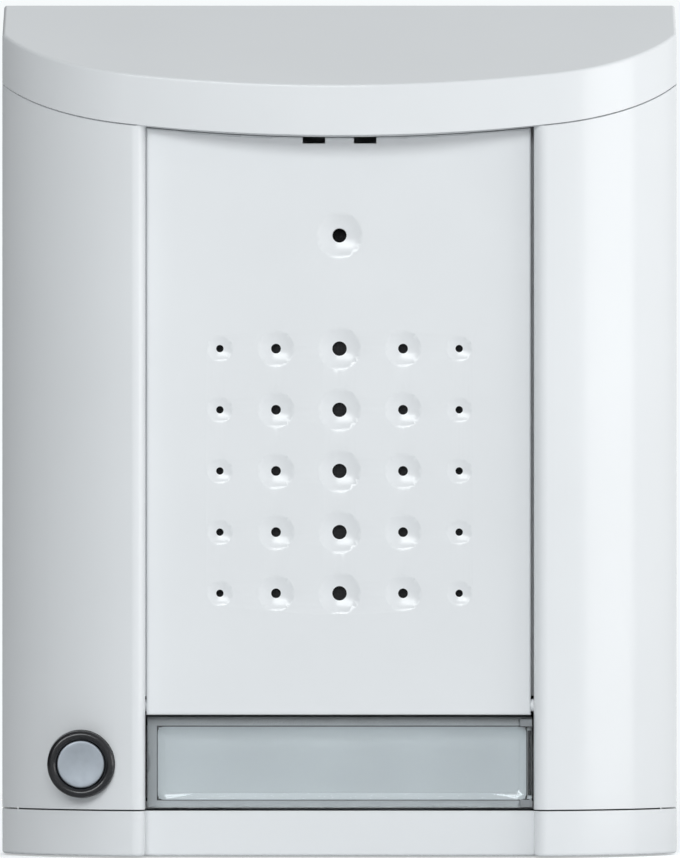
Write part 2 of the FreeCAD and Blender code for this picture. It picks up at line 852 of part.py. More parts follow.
def make_bottom_cap():
    outer = notched_prism(bottom_z, bottom_seam_z)
    rim = [edge for edge in outer.Edges if is_bottom_front(edge)]
    outer = outer.makeFillet(rim_round, rim)
    cavity = body_prism(wall_thickness, -through, bottom_z + wall_thickness, top_z)
    middle = box(-opening_half_width - wall_thickness, opening_half_width + wall_thickness,
                 panel_depth - wall_thickness, reach, bottom_z, top_z)
    cap = outer.cut(cavity.cut(middle))
    posts = [rod_y(x, z, cap_post_radius, plate_thickness, plate_thickness + bottom_post_length)
             for x, z in bottom_post_places]
    webs = [box(x - wing_rib_thickness / 2, x + wing_rib_thickness / 2, plate_thickness,
                plate_thickness + bottom_post_length, bottom_z + wall_thickness / 2, z)
            for x, z in bottom_post_places]
    cap = fused(cap, posts + webs)
    tools = [pilot_hole(x, z, screw_length, small_screw) for x, z in bottom_post_places]
    for side in (-1, 1):
        x = side * drain_slot_offset
        tools.append(box(x - drain_slot_length / 2, x + drain_slot_length / 2,
                         drain_slot_depth, drain_slot_depth + drain_slot_width,
                         bottom_z - through, bottom_z + wall_thickness + through))
    return cut_all(cap, tools)


def is_bottom_front(edge):
    points = [edge.valueAt(edge.FirstParameter), edge.valueAt(edge.LastParameter)]
    at_bottom = all(abs(point.z - bottom_z) < same_place for point in points)
    return at_bottom and all(point.y < -cover_wall_gap - through for point in points)


# Front panel: dimpled sound holes, release slots, side returns and hinge pins

def sound_holes():
    middle_row = (row_count - 1) / 2
    places = []
    for column, offset in enumerate(column_offsets):
        for side in ((1,) if column == 0 else (-1, 1)):
            for row in range(row_count):
                z = speaker_z + (middle_row - row) * row_pitch
                places.append((side * offset, z, hole_radii[column], dimple_radii[column],
                               dimple_depths[column]))
    places.append((0, microphone_z, hole_radii[0], microphone_dimple_radius, dimple_depths[0]))
    return places


def dimple(x, z, radius, depth):
    ball = (radius ** 2 + depth ** 2) / (2 * depth)
    return Part.makeSphere(ball, V(x, -(panel_depth + ball - depth), z))


def panel_top_height(x):
    return seam_height(front_depth(x)) - panel_top_gap


def panel_blank(left, right, low_z, back, front, top_drop):
    top = [V(x, 0, panel_top_height(x) - top_drop) for x in (left, (left + right) / 2, right)]
    corners = [V(left, 0, low_z), V(right, 0, low_z)]
    edges = [
        Part.Arc(*top).toShape(),
        Part.LineSegment(top[2], corners[1]).toShape(),
        Part.LineSegment(corners[1], corners[0]).toShape(),
        Part.LineSegment(corners[0], top[0]).toShape(),
    ]
    blank = Part.Face(Part.Wire(edges)).extrude(V(0, -(front - back), 0))
    blank.translate(V(0, -back, 0))
    return blank


def chamber_frame(half, back, front):
    return rounded_plate(-half, half, back, front, speaker_z - half, speaker_z + half,
                         chamber_corner_radius)


def clamp_boss_places():
    return [(sx * clamp_boss_x, speaker_z + sz * clamp_boss_z) for sx in (-1, 1) for sz in (-1, 1)]


def make_front_panel():
    panel = panel_blank(panel_left, panel_right, panel_bottom_z, panel_back, panel_depth, 0)
    front_edges = [edge for edge in panel.Edges
                   if all(abs(vertex.Point.y + panel_depth) < same_place for vertex in edge.Vertexes)]
    panel = panel.makeFillet(panel_edge_round, front_edges)
    return_back = panel_depth - panel_return_depth
    returns = panel_blank(panel_left, panel_right, panel_bottom_z, return_back, panel_back, 0)
    returns = returns.cut(panel_blank(
        panel_left + panel_return_thickness, panel_right - panel_return_thickness,
        panel_bottom_z - through, return_back - through, panel_depth, panel_return_thickness))
    lower_lip = box(panel_left, panel_right, window_back + piece_gap, panel_back,
                    panel_bottom_z, panel_bottom_z + panel_return_thickness)
    chamber_outer = chamber_half + chamber_rib_thickness
    frame = chamber_frame(chamber_outer, speaker_flange_back, panel_back)
    frame = frame.cut(chamber_frame(chamber_half, speaker_flange_back - through, panel_back + through))
    bosses = [rod_y(x, z, clamp_boss_radius, speaker_flange_back, panel_back)
              for x, z in clamp_boss_places()]
    socket_radius = capsule_radius + boot_wall + boot_socket_gap
    socket = tube_y(0, microphone_z, socket_radius + boot_socket_thickness, socket_radius,
                    panel_back - boot_socket_height, panel_back)
    pins = []
    for side, edge in ((-1, panel_left), (1, panel_right)):
        tip = side * (opening_half_width + hinge_cheek_engagement)
        low, high = sorted((edge - side * panel_return_thickness, tip))
        pins.append(rod_x(hinge_depth, hinge_z, hinge_pin_radius, low, high))
    half_rib = panel_rib_thickness / 2
    socket_low = microphone_z - speaker_z - socket_radius - boot_socket_thickness
    rib_offset = (chamber_outer + socket_low) / 2
    rib_back = panel_back - panel_rib_height
    ribs = [box(panel_left, panel_right, rib_back, panel_back, z - half_rib, z + half_rib)
            for z in (speaker_z + rib_offset, speaker_z - rib_offset)]
    panel = fused(panel, [returns, lower_lip, frame, socket] + bosses + pins + ribs)
    tools = []
    for x, z, hole, rim, depth in sound_holes():
        tools.append(rod_y(x, z, hole, panel_back - through, panel_depth + through))
        tools.append(dimple(x, z, rim, depth))
    for side in (-1, 1):
        x = side * release_slot_offset
        top = panel_top_height(x)
        tools.append(box(x - release_slot_width / 2, x + release_slot_width / 2, return_back - through,
                         panel_depth + through, top - release_slot_height, top + through))
    for x, z in clamp_boss_places():
        tools.append(rod_y(x, z, small_screw_radius + screw_thread_gap,
                           clamp_back, clamp_back + small_screw_length + screw_end_gap))
    return cut_all(panel, tools)


def make_membrane():
    return chamber_frame(chamber_half - speaker_wall_gap, panel_back - membrane_thickness, panel_back)


def make_speaker_gasket():
    pad = chamber_frame(chamber_half - speaker_wall_gap, speaker_flange_front, gasket_front)
    return pad.cut(rod_y(0, speaker_z, speaker_radius - speaker_rim_width,
                         speaker_flange_front - through, panel_back))


def make_speaker_frame():
    rim_inner = speaker_radius - speaker_rim_width
    profile = [
        (rim_inner, speaker_flange_front),
        (speaker_radius, speaker_flange_front),
        (speaker_radius, speaker_flange_back),
        (rim_inner + basket_thickness, speaker_flange_back),
        (basket_bottom_radius + basket_thickness, basket_bottom_depth),
        (cone_neck_radius, basket_bottom_depth),
        (cone_neck_radius, basket_bottom_depth + basket_thickness),
        (basket_bottom_radius, basket_bottom_depth + basket_thickness),
        (rim_inner, speaker_flange_back + basket_thickness / 2),
    ]
    basket = turned_y(0, speaker_z, profile)
    window_length = speaker_flange_back - basket_bottom_depth - 2 * basket_thickness
    window = Part.makeCylinder(rim_inner - basket_thickness, window_length,
                               V(0, -(speaker_flange_back - basket_thickness), speaker_z), V(0, 1, 0),
                               basket_window_angle)
    window = window.cut(rod_y(0, speaker_z, basket_bottom_radius, basket_bottom_depth, speaker_flange_back))
    windows = []
    for index in range(basket_window_count):
        copy = window.copy()
        copy.rotate(V(0, 0, speaker_z), V(0, 1, 0), index * full_turn / basket_window_count)
        windows.append(copy)
    return cut_all(basket, windows)


def make_speaker_magnet():
    front = basket_bottom_depth
    back = front - magnet_thickness
    plate = magnet_plate_thickness
    profile = [
        (0, back),
        (magnet_radius - plate, back),
        (magnet_radius, back + plate),
        (magnet_radius, front - plate),
        (magnet_radius + plate, front - plate),
        (magnet_radius + plate, front),
        (0, front),
    ]
    return turned_y(0, speaker_z, profile)


def make_speaker_cone():
    outer = speaker_radius - speaker_rim_width - cone_gap
    front = speaker_flange_back + cone_gap
    roll = outer - 2 * cone_thickness
    profile = [
        (0, cone_neck_depth + dust_cap_height),
        (cone_neck_radius / 2, cone_neck_depth + dust_cap_height - dust_cap_fall),
        (cone_neck_radius, cone_neck_depth + cone_thickness),
        (roll, front + cone_thickness),
        (outer, front + cone_thickness),
        (outer, front),
        (roll, front),
        (cone_neck_radius, cone_neck_depth),
        (cone_neck_radius, basket_bottom_depth + basket_thickness + cone_gap),
        (0, basket_bottom_depth + basket_thickness + cone_gap),
    ]
    return turned_y(0, speaker_z, profile)


def make_speaker_clamp():
    ring = tube_y(0, speaker_z, speaker_radius, speaker_radius - clamp_width,
                  clamp_back, speaker_flange_back)
    ears = []
    for x, z in clamp_boss_places():
        length = math.hypot(x, z - speaker_z)
        ear = box(0, length, clamp_back, speaker_flange_back, -clamp_ear_width / 2, clamp_ear_width / 2)
        ear = ear.fuse(rod_y(length, 0, clamp_ear_width / 2, clamp_back, speaker_flange_back))
        ear.rotate(V(0, 0, 0), V(0, -1, 0), math.degrees(math.atan2(z - speaker_z, x)))
        ear.translate(V(0, 0, speaker_z))
        ears.append(ear.cut(rod_y(0, speaker_z, speaker_radius - clamp_width / 2, 0, body_depth)))
    clamp = fused(ring, ears)
    holes = [rod_y(x, z, small_screw_radius + screw_clearance, 0, body_depth)
             for x, z in clamp_boss_places()]
    return cut_all(clamp, holes)


# Microphone capsule in its rubber boot

def make_mic_boot():
    outer = capsule_radius + boot_wall
    back = panel_back - boot_length
    profile = [
        (sound_bore_radius, panel_back),
        (outer, panel_back),
        (outer, back + boot_wall / 2),
        (outer - boot_wall / 2, back),
        (capsule_radius, back),
        (capsule_radius, panel_back - boot_front),
        (sound_bore_radius, panel_back - boot_front),
    ]
    return turned_y(0, microphone_z, profile)


def make_mic_capsule():
    front = panel_back - boot_front
    back = front - capsule_length
    body = rod_y(0, microphone_z, capsule_radius - capsule_clearance, back, front)
    port = rod_y(0, microphone_z, sound_bore_radius, front - capsule_port_depth, front + through)
    contacts = [rod_y(side * contact_offset, microphone_z, contact_radius, back - contact_height, back)
                for side in (-1, 1)]
    return fused(body.cut(port), contacts)


# Main board and its components

def make_main_board():
    board = rounded_plate(-board_width / 2, board_width / 2, board_back, board_front,
                          board_low_z, board_high_z, board_corner_radius)
    return cut_all(board, [rod_y(x, z, screw_radius + screw_clearance, 0, body_depth)
                           for x, z in board_hole_places])


terminal_places = [(index - (terminal_count - 1) / 2) * terminal_pitch for index in range(terminal_count)]
terminal_high_z = board_high_z - terminal_edge_inset
terminal_low_z = terminal_high_z - terminal_width
terminal_front = board_front + terminal_height
terminal_screw_z = (terminal_low_z + terminal_high_z) / 2


def make_terminal_block():
    half = terminal_count * terminal_pitch / 2
    block = box(-half, half, board_front, terminal_front, terminal_low_z, terminal_high_z)
    long_edges = [edge for edge in block.Edges if runs_along(edge, V(1, 0, 0))
                  and edge.CenterOfMass.y < -terminal_front + through]
    block = block.makeChamfer(terminal_chamfer, long_edges)
    tools = []
    for x in terminal_places:
        tools.append(rod_y(x, terminal_screw_z, terminal_screw_radius + screw_clearance,
                           terminal_front - terminal_well_depth, reach))
        tools.append(box(x - terminal_entry_width / 2, x + terminal_entry_width / 2,
                         board_front + terminal_entry_lift,
                         board_front + terminal_entry_lift + terminal_entry_height,
                         terminal_high_z - terminal_entry_depth, top_z))
    return cut_all(block, tools)


def make_terminal_screws():
    floor = terminal_front - terminal_well_depth
    head = floor + terminal_screw_height
    slot = box(-reach, reach, head - terminal_slot_depth, reach,
               terminal_screw_z - drive_width / 2, terminal_screw_z + drive_width / 2)
    return Part.makeCompound([rod_y(x, terminal_screw_z, terminal_screw_radius, floor, head).cut(slot)
                              for x in terminal_places])




def centred_block(x, z, width, height, back, front):
    return box(x - width / 2, x + width / 2, back, front, z - height / 2, z + height / 2)


def make_plug_header():
    front = board_front + header_height
    z = board_low_z + header_from_board_edge
    shroud = centred_block(header_x, z, header_length, header_width, board_front, front)
    well = centred_block(header_x, z, header_length - 2 * header_wall, header_width - 2 * header_wall,
                         board_front + header_wall, front + through)
    pitch = (header_length - 2 * header_wall) / header_pins
    pins = []
    for index in range(header_pins):
        x = header_x + (index - (header_pins - 1) / 2) * pitch
        pins.append(centred_block(x, z, header_pin_width, header_pin_width,
                                  board_front, front - header_wall))
    return fused(shroud.cut(well), pins)


def make_relay():
    relay = centred_block(relay_x, relay_z, relay_width, relay_length,
                          board_front, board_front + relay_height)
    edges = [edge for edge in relay.Edges if edge.CenterOfMass.y < -board_front - through]
    return relay.makeFillet(relay_edge_round, edges)


def make_capacitors():
    low = board_front
    high = board_front + capacitor_height
    bead_low = low + capacitor_bead
    bead_high = bead_low + 2 * capacitor_bead
    profile = [
        (0, low),
        (capacitor_radius, low),
        (capacitor_radius, bead_low),
        (capacitor_radius - capacitor_bead, (bead_low + bead_high) / 2),
        (capacitor_radius, bead_high),
        (capacitor_radius, high - capacitor_bead),
        (capacitor_radius - capacitor_bead, high),
        (0, high),
    ]
    return Part.makeCompound([turned_y(side * capacitor_x, capacitor_z, profile) for side in (-1, 1)])


def make_chips():
    chips = []
    for chip in range(chip_count):
        z = chip_middle_z + (chip - (chip_count - 1) / 2) * chip_spacing
        body = centred_block(0, z, chip_width, chip_length, board_front, board_front + chip_height)
        legs = []
        for leg in range(chip_leg_rows):
            leg_z = z + (leg - (chip_leg_rows - 1) / 2) * chip_leg_pitch
            legs.append(centred_block(0, leg_z, chip_width + 2 * chip_leg_length, chip_leg_width,
                                      board_front, board_front + chip_leg_height))
        chips.append(fused(body, legs))
    return Part.makeCompound(chips)


def make_trimmers():
    trimmers = []
    front = board_front + trimmer_height
    for side in (-1, 1):
        z = trimmer_middle_z + side * trimmer_spacing / 2
        body = centred_block(trimmer_x, z, trimmer_width, trimmer_width, board_front,
                             front - trimmer_rotor_lift)
        rotor = rod_y(trimmer_x, z, trimmer_rotor_radius, board_front, front)
        slot = centred_block(trimmer_x, z, trimmer_slot_width, 2 * trimmer_rotor_radius,
                             front - trimmer_rotor_lift, front + through)
        trimmers.append(body.fuse(rotor).cut(slot))
    return Part.makeCompound(trimmers)


# Name field: tray, light board, lamps, strip and clear window

def window_post_places():
    return [(window_low_z, 1), (window_high_z, -1)]


def make_label_tray():
    rim_low = window_low_z - tray_rim_overlap
    rim_high = panel_bottom_z - window_flange_end_gap
    rim = box(tray_left, tray_right, tray_front - tray_rim_thickness, tray_front, rim_low, rim_high)
    box_left = label_left + tray_ledge - tray_wall
    box_right = label_right - tray_ledge + tray_wall
    box_low = label_low_z + tray_ledge - tray_wall
    box_high = label_high_z - tray_ledge + tray_wall
    light_box = box(box_left, box_right, tray_box_back, tray_front, box_low, box_high)
    posts = []
    for z, direction in window_post_places():
        low, high = sorted((z, z + direction * window_post_height))
        posts.append(box(window_hinge_x - window_post_width / 2, window_hinge_x + window_post_width / 2,
                         tray_front - tray_rim_thickness,
                         window_hinge_depth + window_pin_radius + window_post_wall, low, high))
    floor = box(tray_left, tray_right, tray_box_back, tray_box_back + tray_wall, block_low_z, block_high_z)
    tray = fused(rim, [light_box, floor] + posts)
    tools = [
        box(box_left + tray_wall, box_right - tray_wall, tray_box_back + tray_wall, reach,
            box_low + tray_wall, box_high - tray_wall),
        box(label_left - label_margin, label_right + label_margin, label_back, reach,
            label_low_z - label_margin, label_high_z + label_margin),
        rod_z(window_hinge_x, window_hinge_depth, window_pin_radius + window_pin_clearance,
              bottom_z, panel_bottom_z),
    ]
    return cut_all(tray, tools)


def make_led_board():
    inset = tray_ledge + led_board_gap
    return box(label_left + inset, label_right - inset, tray_box_back + tray_wall,
               tray_box_back + tray_wall + led_board_thickness, label_low_z + inset, label_high_z - inset)


def make_leds():
    back = tray_box_back + tray_wall + led_board_thickness
    leds = []
    for index in range(led_count):
        x = (index - (led_count - 1) / 2) * led_pitch
        lamp = box(x - led_width / 2, x + led_width / 2, back, back + led_thickness,
                   window_centre_z - led_height / 2, window_centre_z + led_height / 2)
        lens = rod_y(x, window_centre_z, led_lens_radius, back, back + led_thickness + led_lens_height)
        leds.append(lamp.fuse(lens))
    return Part.makeCompound(leds)


def make_label_strip():
    return box(label_left, label_right, label_back, tray_front, label_low_z, label_high_z)


def make_name_window():
    flange = box(window_left, window_right, window_back, window_flange_depth, window_low_z, window_high_z)
    end_edges = [edge for edge in flange.Edges
                 if runs_along(edge, V(0, 0, 1)) and edge.CenterOfMass.x > window_right - through]
    flange = flange.makeFillet(window_end_round, end_edges)
    block = rounded_plate(block_left, block_right, window_back, window_flange_depth + window_rim_height,
                          block_low_z, block_high_z, window_corner_radius)
    crown = bevelled_crown()
    window = fused(flange, [block, crown])
    tools = []
    for z, direction in window_post_places():
        low, high = sorted((z - direction * through, z + direction * (window_post_height + window_post_gap)))
        tools.append(box(window_hinge_x - window_post_width / 2 - piece_gap, window_right + through,
                         window_back - through, window_flange_depth + window_post_cut, low, high))
    window = cut_all(window, tools)
    pins = []
    for z, direction in window_post_places():
        low, high = sorted((z + direction * (window_post_height - window_pin_length),
                            z + direction * (window_post_height + 2 * window_pin_length)))
        pins.append(rod_z(window_hinge_x, window_hinge_depth, window_pin_radius, low, high))
    window = fused(window, pins)
    radius = (prising_notch_length ** 2 / 4 + prising_notch_depth ** 2) / (2 * prising_notch_depth)
    notch = rod_y(window_left + prising_notch_depth - radius, window_centre_z, radius, window_back - through,
                  window_flange_depth + through)
    return window.cut(notch)


def bevelled_crown():
    low = rounded_wire(block_left, block_right, block_low_z, block_high_z, window_corner_radius,
                       window_flange_depth + window_rim_height)
    high = rounded_wire(block_left + window_bevel, block_right - window_bevel, block_low_z + window_bevel,
                        block_high_z - window_bevel, window_corner_radius, window_front_depth)
    return Part.makeLoft([low, high], True, True)


def rounded_wire(x_low, x_high, z_low, z_high, radius, depth):
    plate = rounded_plate(x_low, x_high, depth, depth + through, z_low, z_high, radius)
    faces = [face for face in plate.Faces if abs(face.CenterOfMass.y + depth) < same_place]
    return faces[0].OuterWire


# Call button: collar, cap, stem, spring, clip, nut, seal and the switch behind them

def make_button_ring():
    collar_back = collar_seat_depth + seal_thickness
    collar = rod_y(button_x, button_z, collar_radius, collar_back, collar_front)
    barrel = rod_y(button_x, button_z, barrel_radius, barrel_back, collar_front)
    cavity = rod_y(button_x, button_z, button_radius + button_clearance, cavity_floor, reach)
    collar = collar.cut(cavity)
    front_edges = [edge for edge in collar.Edges if abs(edge.CenterOfMass.y + collar_front) < same_place]
    collar = collar.makeFillet(collar_round, front_edges)
    ring = fused(collar, [barrel.cut(cavity)])
    tools = [
        rod_y(button_x, button_z, stem_radius + stem_clearance, 0, reach),
        rod_y(button_x, button_z, clip_pocket_radius, 0, guide_back),
    ]
    return cut_all(ring, tools)


def make_button_seal():
    return tube_y(button_x, button_z, collar_radius, barrel_radius + barrel_clearance,
                  collar_seat_depth, collar_seat_depth + seal_thickness)


def make_button_nut():
    nut = tube_y(button_x, button_z, nut_radius, barrel_radius + screw_thread_gap,
                 sleeve_back - nut_thickness, sleeve_back)
    notches = []
    for index in range(nut_notch_count):
        notch = box(nut_radius - nut_notch, nut_radius + through, 0, body_depth,
                    -nut_notch / 2, nut_notch / 2)
        notch.rotate(V(0, 0, 0), V(0, 1, 0), index * full_turn / nut_notch_count)
        notch.translate(V(button_x, 0, button_z))
        notches.append(notch)
    return cut_all(nut, notches)


cap_back = button_front - button_cap_length
cap_ceiling = button_front - button_cap_top


def make_button_cap():
    cap = rod_y(button_x, button_z, button_radius, cap_back, button_front)
    rim = [edge for edge in cap.Edges if abs(edge.CenterOfMass.y + button_front) < same_place]
    cap = cap.makeFillet(button_edge_round, rim)
    dish_radius = button_radius - 2 * button_edge_round
    dish = (dish_radius ** 2 + button_dish_depth ** 2) / (2 * button_dish_depth)
    tools = [
        rod_y(button_x, button_z, button_radius - button_cap_wall, cap_back - through, cap_ceiling),
        rod_y(button_x, button_z, stem_radius + stem_socket_gap, cap_back, cap_ceiling + stem_socket_depth),
        Part.makeSphere(dish, V(button_x, -(button_front + dish - button_dish_depth), button_z)),
    ]
    return cut_all(cap, tools)


clip_front = guide_back - clip_gap


def make_button_stem():
    stem = rod_y(button_x, button_z, stem_radius, stem_back, cap_ceiling + stem_socket_depth)
    groove = tube_y(button_x, button_z, stem_radius + through, stem_radius - clip_groove_depth,
                    clip_front - clip_thickness - stem_socket_gap, clip_front + stem_socket_gap)
    return stem.cut(groove)


def make_retaining_clip():
    clip = tube_y(button_x, button_z, clip_radius, stem_radius - clip_groove_depth + stem_socket_gap,
                  clip_front - clip_thickness, clip_front)
    mouth = box(button_x - clip_mouth / 2, button_x + clip_mouth / 2, 0, body_depth,
                button_z, button_z + clip_radius + through)
    return clip.cut(mouth)


def make_button_spring():
    low = cavity_floor + spring_wire_radius + spring_end_gap
    high = cap_ceiling - spring_wire_radius - spring_end_gap
    pitch = (high - low) / spring_turns
    lead = math.degrees(math.atan2(pitch, 2 * math.pi * spring_radius))
    step_count = round(spring_turns * spring_steps_per_turn)
    sections = []
    for step in range(step_count + 1):
        section = Part.Wire(Part.makeCircle(spring_wire_radius, V(0, 0, 0), V(0, 0, 1)))
        section.rotate(V(0, 0, 0), V(1, 0, 0), lead)
        section.translate(V(spring_radius, -low - (high - low) * step / step_count, 0))
        section.rotate(V(0, 0, 0), V(0, 1, 0), -step * full_turn / spring_steps_per_turn)
        section.translate(V(button_x, 0, button_z))
        sections.append(section)
    return Part.makeLoft(sections, True, True)


def make_button_board():
    half_width = button_board_width / 2
    half_height = button_board_height / 2
    board = rounded_plate(button_x - half_width, button_x + half_width, button_board_back, switch_back,
                          button_z - half_height, button_z + half_height, button_board_corner)
    return cut_all(board, [rod_y(x, z, small_screw_radius + screw_clearance, 0, body_depth)
                           for x, z in button_board_places])


plunger_front = stem_back - plunger_gap
plunger_back = plunger_front - plunger_length


def make_switch_body():
    front = switch_back + switch_height
    body = centred_block(button_x, button_z, switch_width, switch_width, switch_back, front)
    front_edges = [edge for edge in body.Edges if abs(edge.CenterOfMass.y + front) < same_place]
    body = body.makeChamfer(switch_chamfer, front_edges)
    bore = rod_y(button_x, button_z, plunger_radius + plunger_clearance,
                 plunger_back - button_travel - 2 * plunger_gap, reach)
    return body.cut(bore)


def make_switch_plunger():
    return rod_y(button_x, button_z, plunger_radius, plunger_back, plunger_front)


def main():
    os.makedirs("parts", exist_ok=True)
    gasket = make_gasket()
    export("base_plate", make_base_plate(gasket))
    export("wall_gasket", gasket)
    export("cable_grommet", make_grommet())
    export("housing_shell", make_housing_shell())
    export("top_cap", make_top_cap())
    export("bottom_cap", make_bottom_cap())
    export("housing_screws", screws(pillar_places, screw_recess_depth, screw_length, large_screw, True))
    export("cap_screws", screws(cap_post_places, screw_recess_depth, cap_post_length, small_screw, True))
    export("bottom_screws", screws(bottom_post_places, screw_recess_depth, screw_length, small_screw, True))
    export("front_panel", make_front_panel())
    export("acoustic_membrane", make_membrane())
    export("speaker_gasket", make_speaker_gasket())
    export("speaker_frame", make_speaker_frame())
    export("speaker_magnet", make_speaker_magnet())
    export("speaker_cone", make_speaker_cone())
    export("speaker_clamp", make_speaker_clamp())
    export("speaker_screws", screws(clamp_boss_places(), clamp_back, small_screw_length, small_screw, True))
    export("mic_boot", make_mic_boot())
    export("mic_capsule", make_mic_capsule())
    export("main_board", make_main_board())
    export("board_screws", screws(board_hole_places, board_front, board_screw_length, large_screw, False))
    export("terminal_block", make_terminal_block())
    export("terminal_screws", make_terminal_screws())
    export("plug_header", make_plug_header())
    export("relay", make_relay())
    export("capacitors", make_capacitors())
    export("chips", make_chips())
    export("trimmers", make_trimmers())
    export("label_tray", make_label_tray())
    export("led_board", make_led_board())
    export("leds", make_leds())
    export("label_strip", make_label_strip())
    export("name_window", make_name_window())
    export("button_ring", make_button_ring())
    export("button_seal", make_button_seal())
    export("button_nut", make_button_nut())
    export("button_cap", make_button_cap())
    export("button_stem", make_button_stem())
    export("retaining_clip", make_retaining_clip())
    export("button_spring", make_button_spring())
    export("button_board", make_button_board())
    export("button_board_screws",
           screws(button_board_places, switch_back, small_screw_length, small_screw, False))
    export("switch_body", make_switch_body())
    export("switch_plunger", make_switch_plunger())


main()
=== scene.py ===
import json
import math

import bmesh
import bpy
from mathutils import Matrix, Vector


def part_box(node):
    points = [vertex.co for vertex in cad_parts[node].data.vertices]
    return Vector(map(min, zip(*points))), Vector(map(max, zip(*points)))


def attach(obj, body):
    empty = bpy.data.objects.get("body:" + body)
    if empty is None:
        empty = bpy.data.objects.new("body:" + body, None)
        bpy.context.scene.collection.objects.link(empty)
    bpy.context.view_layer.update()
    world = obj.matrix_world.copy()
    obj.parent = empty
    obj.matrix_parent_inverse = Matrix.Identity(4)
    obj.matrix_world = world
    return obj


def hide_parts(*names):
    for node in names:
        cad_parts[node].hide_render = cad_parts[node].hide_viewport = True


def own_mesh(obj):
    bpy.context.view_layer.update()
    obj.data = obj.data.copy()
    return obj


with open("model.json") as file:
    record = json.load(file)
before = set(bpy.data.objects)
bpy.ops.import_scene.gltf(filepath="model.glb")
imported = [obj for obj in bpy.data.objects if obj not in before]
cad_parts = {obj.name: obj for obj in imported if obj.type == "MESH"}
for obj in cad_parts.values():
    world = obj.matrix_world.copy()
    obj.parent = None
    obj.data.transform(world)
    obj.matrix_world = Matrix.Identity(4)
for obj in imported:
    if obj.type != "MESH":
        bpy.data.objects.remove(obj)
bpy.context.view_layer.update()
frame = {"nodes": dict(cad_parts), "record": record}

nodes = frame["nodes"]
scene = bpy.context.scene
MM = 0.001
SIDES = (-1, 1)


# Material helpers

# A wave texture of scale 1 repeats about every 0.3
WAVE_LENGTH = 0.3


def new_material(name):
    material = bpy.data.materials.new(name)
    material.use_nodes = True
    tree = material.node_tree
    shader = tree.nodes["Principled BSDF"]
    return material, tree, shader


def add(tree, kind, **values):
    node = tree.nodes.new(kind)
    for key, value in values.items():
        setattr(node, key, value)
    return node


def place(tree, offset=(0, 0, 0), scale=(1, 1, 1)):
    """Coordinates in the part's frame, in metres, moved so that offset is the origin."""
    coordinates = add(tree, "ShaderNodeTexCoord")
    mapping = add(tree, "ShaderNodeMapping", vector_type="TEXTURE")
    mapping.inputs["Location"].default_value = offset
    mapping.inputs["Scale"].default_value = scale
    tree.links.new(coordinates.outputs["Object"], mapping.inputs["Vector"])
    return mapping.outputs["Vector"]


def noise(tree, vector, size_mm, detail=3.0, roughness=0.5):
    texture = add(tree, "ShaderNodeTexNoise")
    texture.inputs["Scale"].default_value = 1.0 / (size_mm * MM)
    texture.inputs["Detail"].default_value = detail
    texture.inputs["Roughness"].default_value = roughness
    tree.links.new(vector, texture.inputs["Vector"])
    return texture.outputs["Fac"]


def wave(tree, vector, length_mm, distortion, **values):
    texture = add(tree, "ShaderNodeTexWave", **values)
    texture.inputs["Scale"].default_value = WAVE_LENGTH / (length_mm * MM)
    texture.inputs["Distortion"].default_value = distortion
    tree.links.new(vector, texture.inputs["Vector"])
    return texture


def combined(tree, operation, first, second):
    node = add(tree, "ShaderNodeMath", operation=operation)
    tree.links.new(first, node.inputs[0])
    tree.links.new(second, node.inputs[1])
    return node.outputs["Value"]


def spread(tree, value, low, high, start=0.3, end=0.7):
    """Takes the values from start to end to the range low to high, and holds it outside them."""
    ramp = add(tree, "ShaderNodeMapRange")
    ramp.inputs["From Min"].default_value = start
    ramp.inputs["From Max"].default_value = end
    ramp.inputs["To Min"].default_value = low
    ramp.inputs["To Max"].default_value = high
    tree.links.new(value, ramp.inputs["Value"])
    return ramp.outputs["Result"]


def varied(tree, value, middle, share):
    """Takes a noise value to a range that reaches a share of the middle to either side of it."""
    return spread(tree, value, middle * (1 - share), middle * (1 + share))


def blend_colours(tree, value, low, high):
    mix = add(tree, "ShaderNodeMix", data_type="RGBA")
    mix.inputs["A"].default_value = (*low, 1)
    mix.inputs["B"].default_value = (*high, 1)
    tree.links.new(value, mix.inputs["Factor"])
    return mix.outputs["Result"]


def blend_shaders(tree, factor, first, second):
    mix = add(tree, "ShaderNodeMixShader")
    tree.links.new(factor, mix.inputs["Fac"])
    tree.links.new(first, mix.inputs[1])
    tree.links.new(second, mix.inputs[2])
    return mix.outputs["Shader"]


def bump(tree, shader, height, depth_mm):
    node = add(tree, "ShaderNodeBump")
    node.inputs["Strength"].default_value = 1.0
    node.inputs["Distance"].default_value = depth_mm * MM
    tree.links.new(height, node.inputs["Height"])
    tree.links.new(node.outputs["Normal"], shader.inputs["Normal"])


def shade(colour, amount):
    return tuple(max(0.0, min(1.0, channel * amount)) for channel in colour)


def moulded(name, colour, roughness, grain_mm, grain_depth, cloud_mm=14.0, change=0.03, metallic=0.0):
    """A moulded or rolled surface: a slow change of shade, patchy gloss and a fine grain."""
    material, tree, shader = new_material(name)
    at = place(tree)
    cloud = noise(tree, at, cloud_mm, detail=2.0)
    wear = noise(tree, at, cloud_mm / 4, detail=4.0, roughness=0.6)
    grain = noise(tree, at, grain_mm, detail=2.0)
    colours = blend_colours(tree, spread(tree, cloud, 0, 1),
                            shade(colour, 1 - change), shade(colour, 1 + change))
    tree.links.new(colours, shader.inputs["Base Color"])
    tree.links.new(varied(tree, wear, roughness, 0.15), shader.inputs["Roughness"])
    shader.inputs["Metallic"].default_value = metallic
    bump(tree, shader, grain, grain_depth)
    return material


def metal(name, colour, roughness, grain_mm, grain_depth, cloud_mm, change):
    """Rolled, plated or drawn metal."""
    return moulded(name, colour, roughness, grain_mm, grain_depth, cloud_mm, change, metallic=1.0)


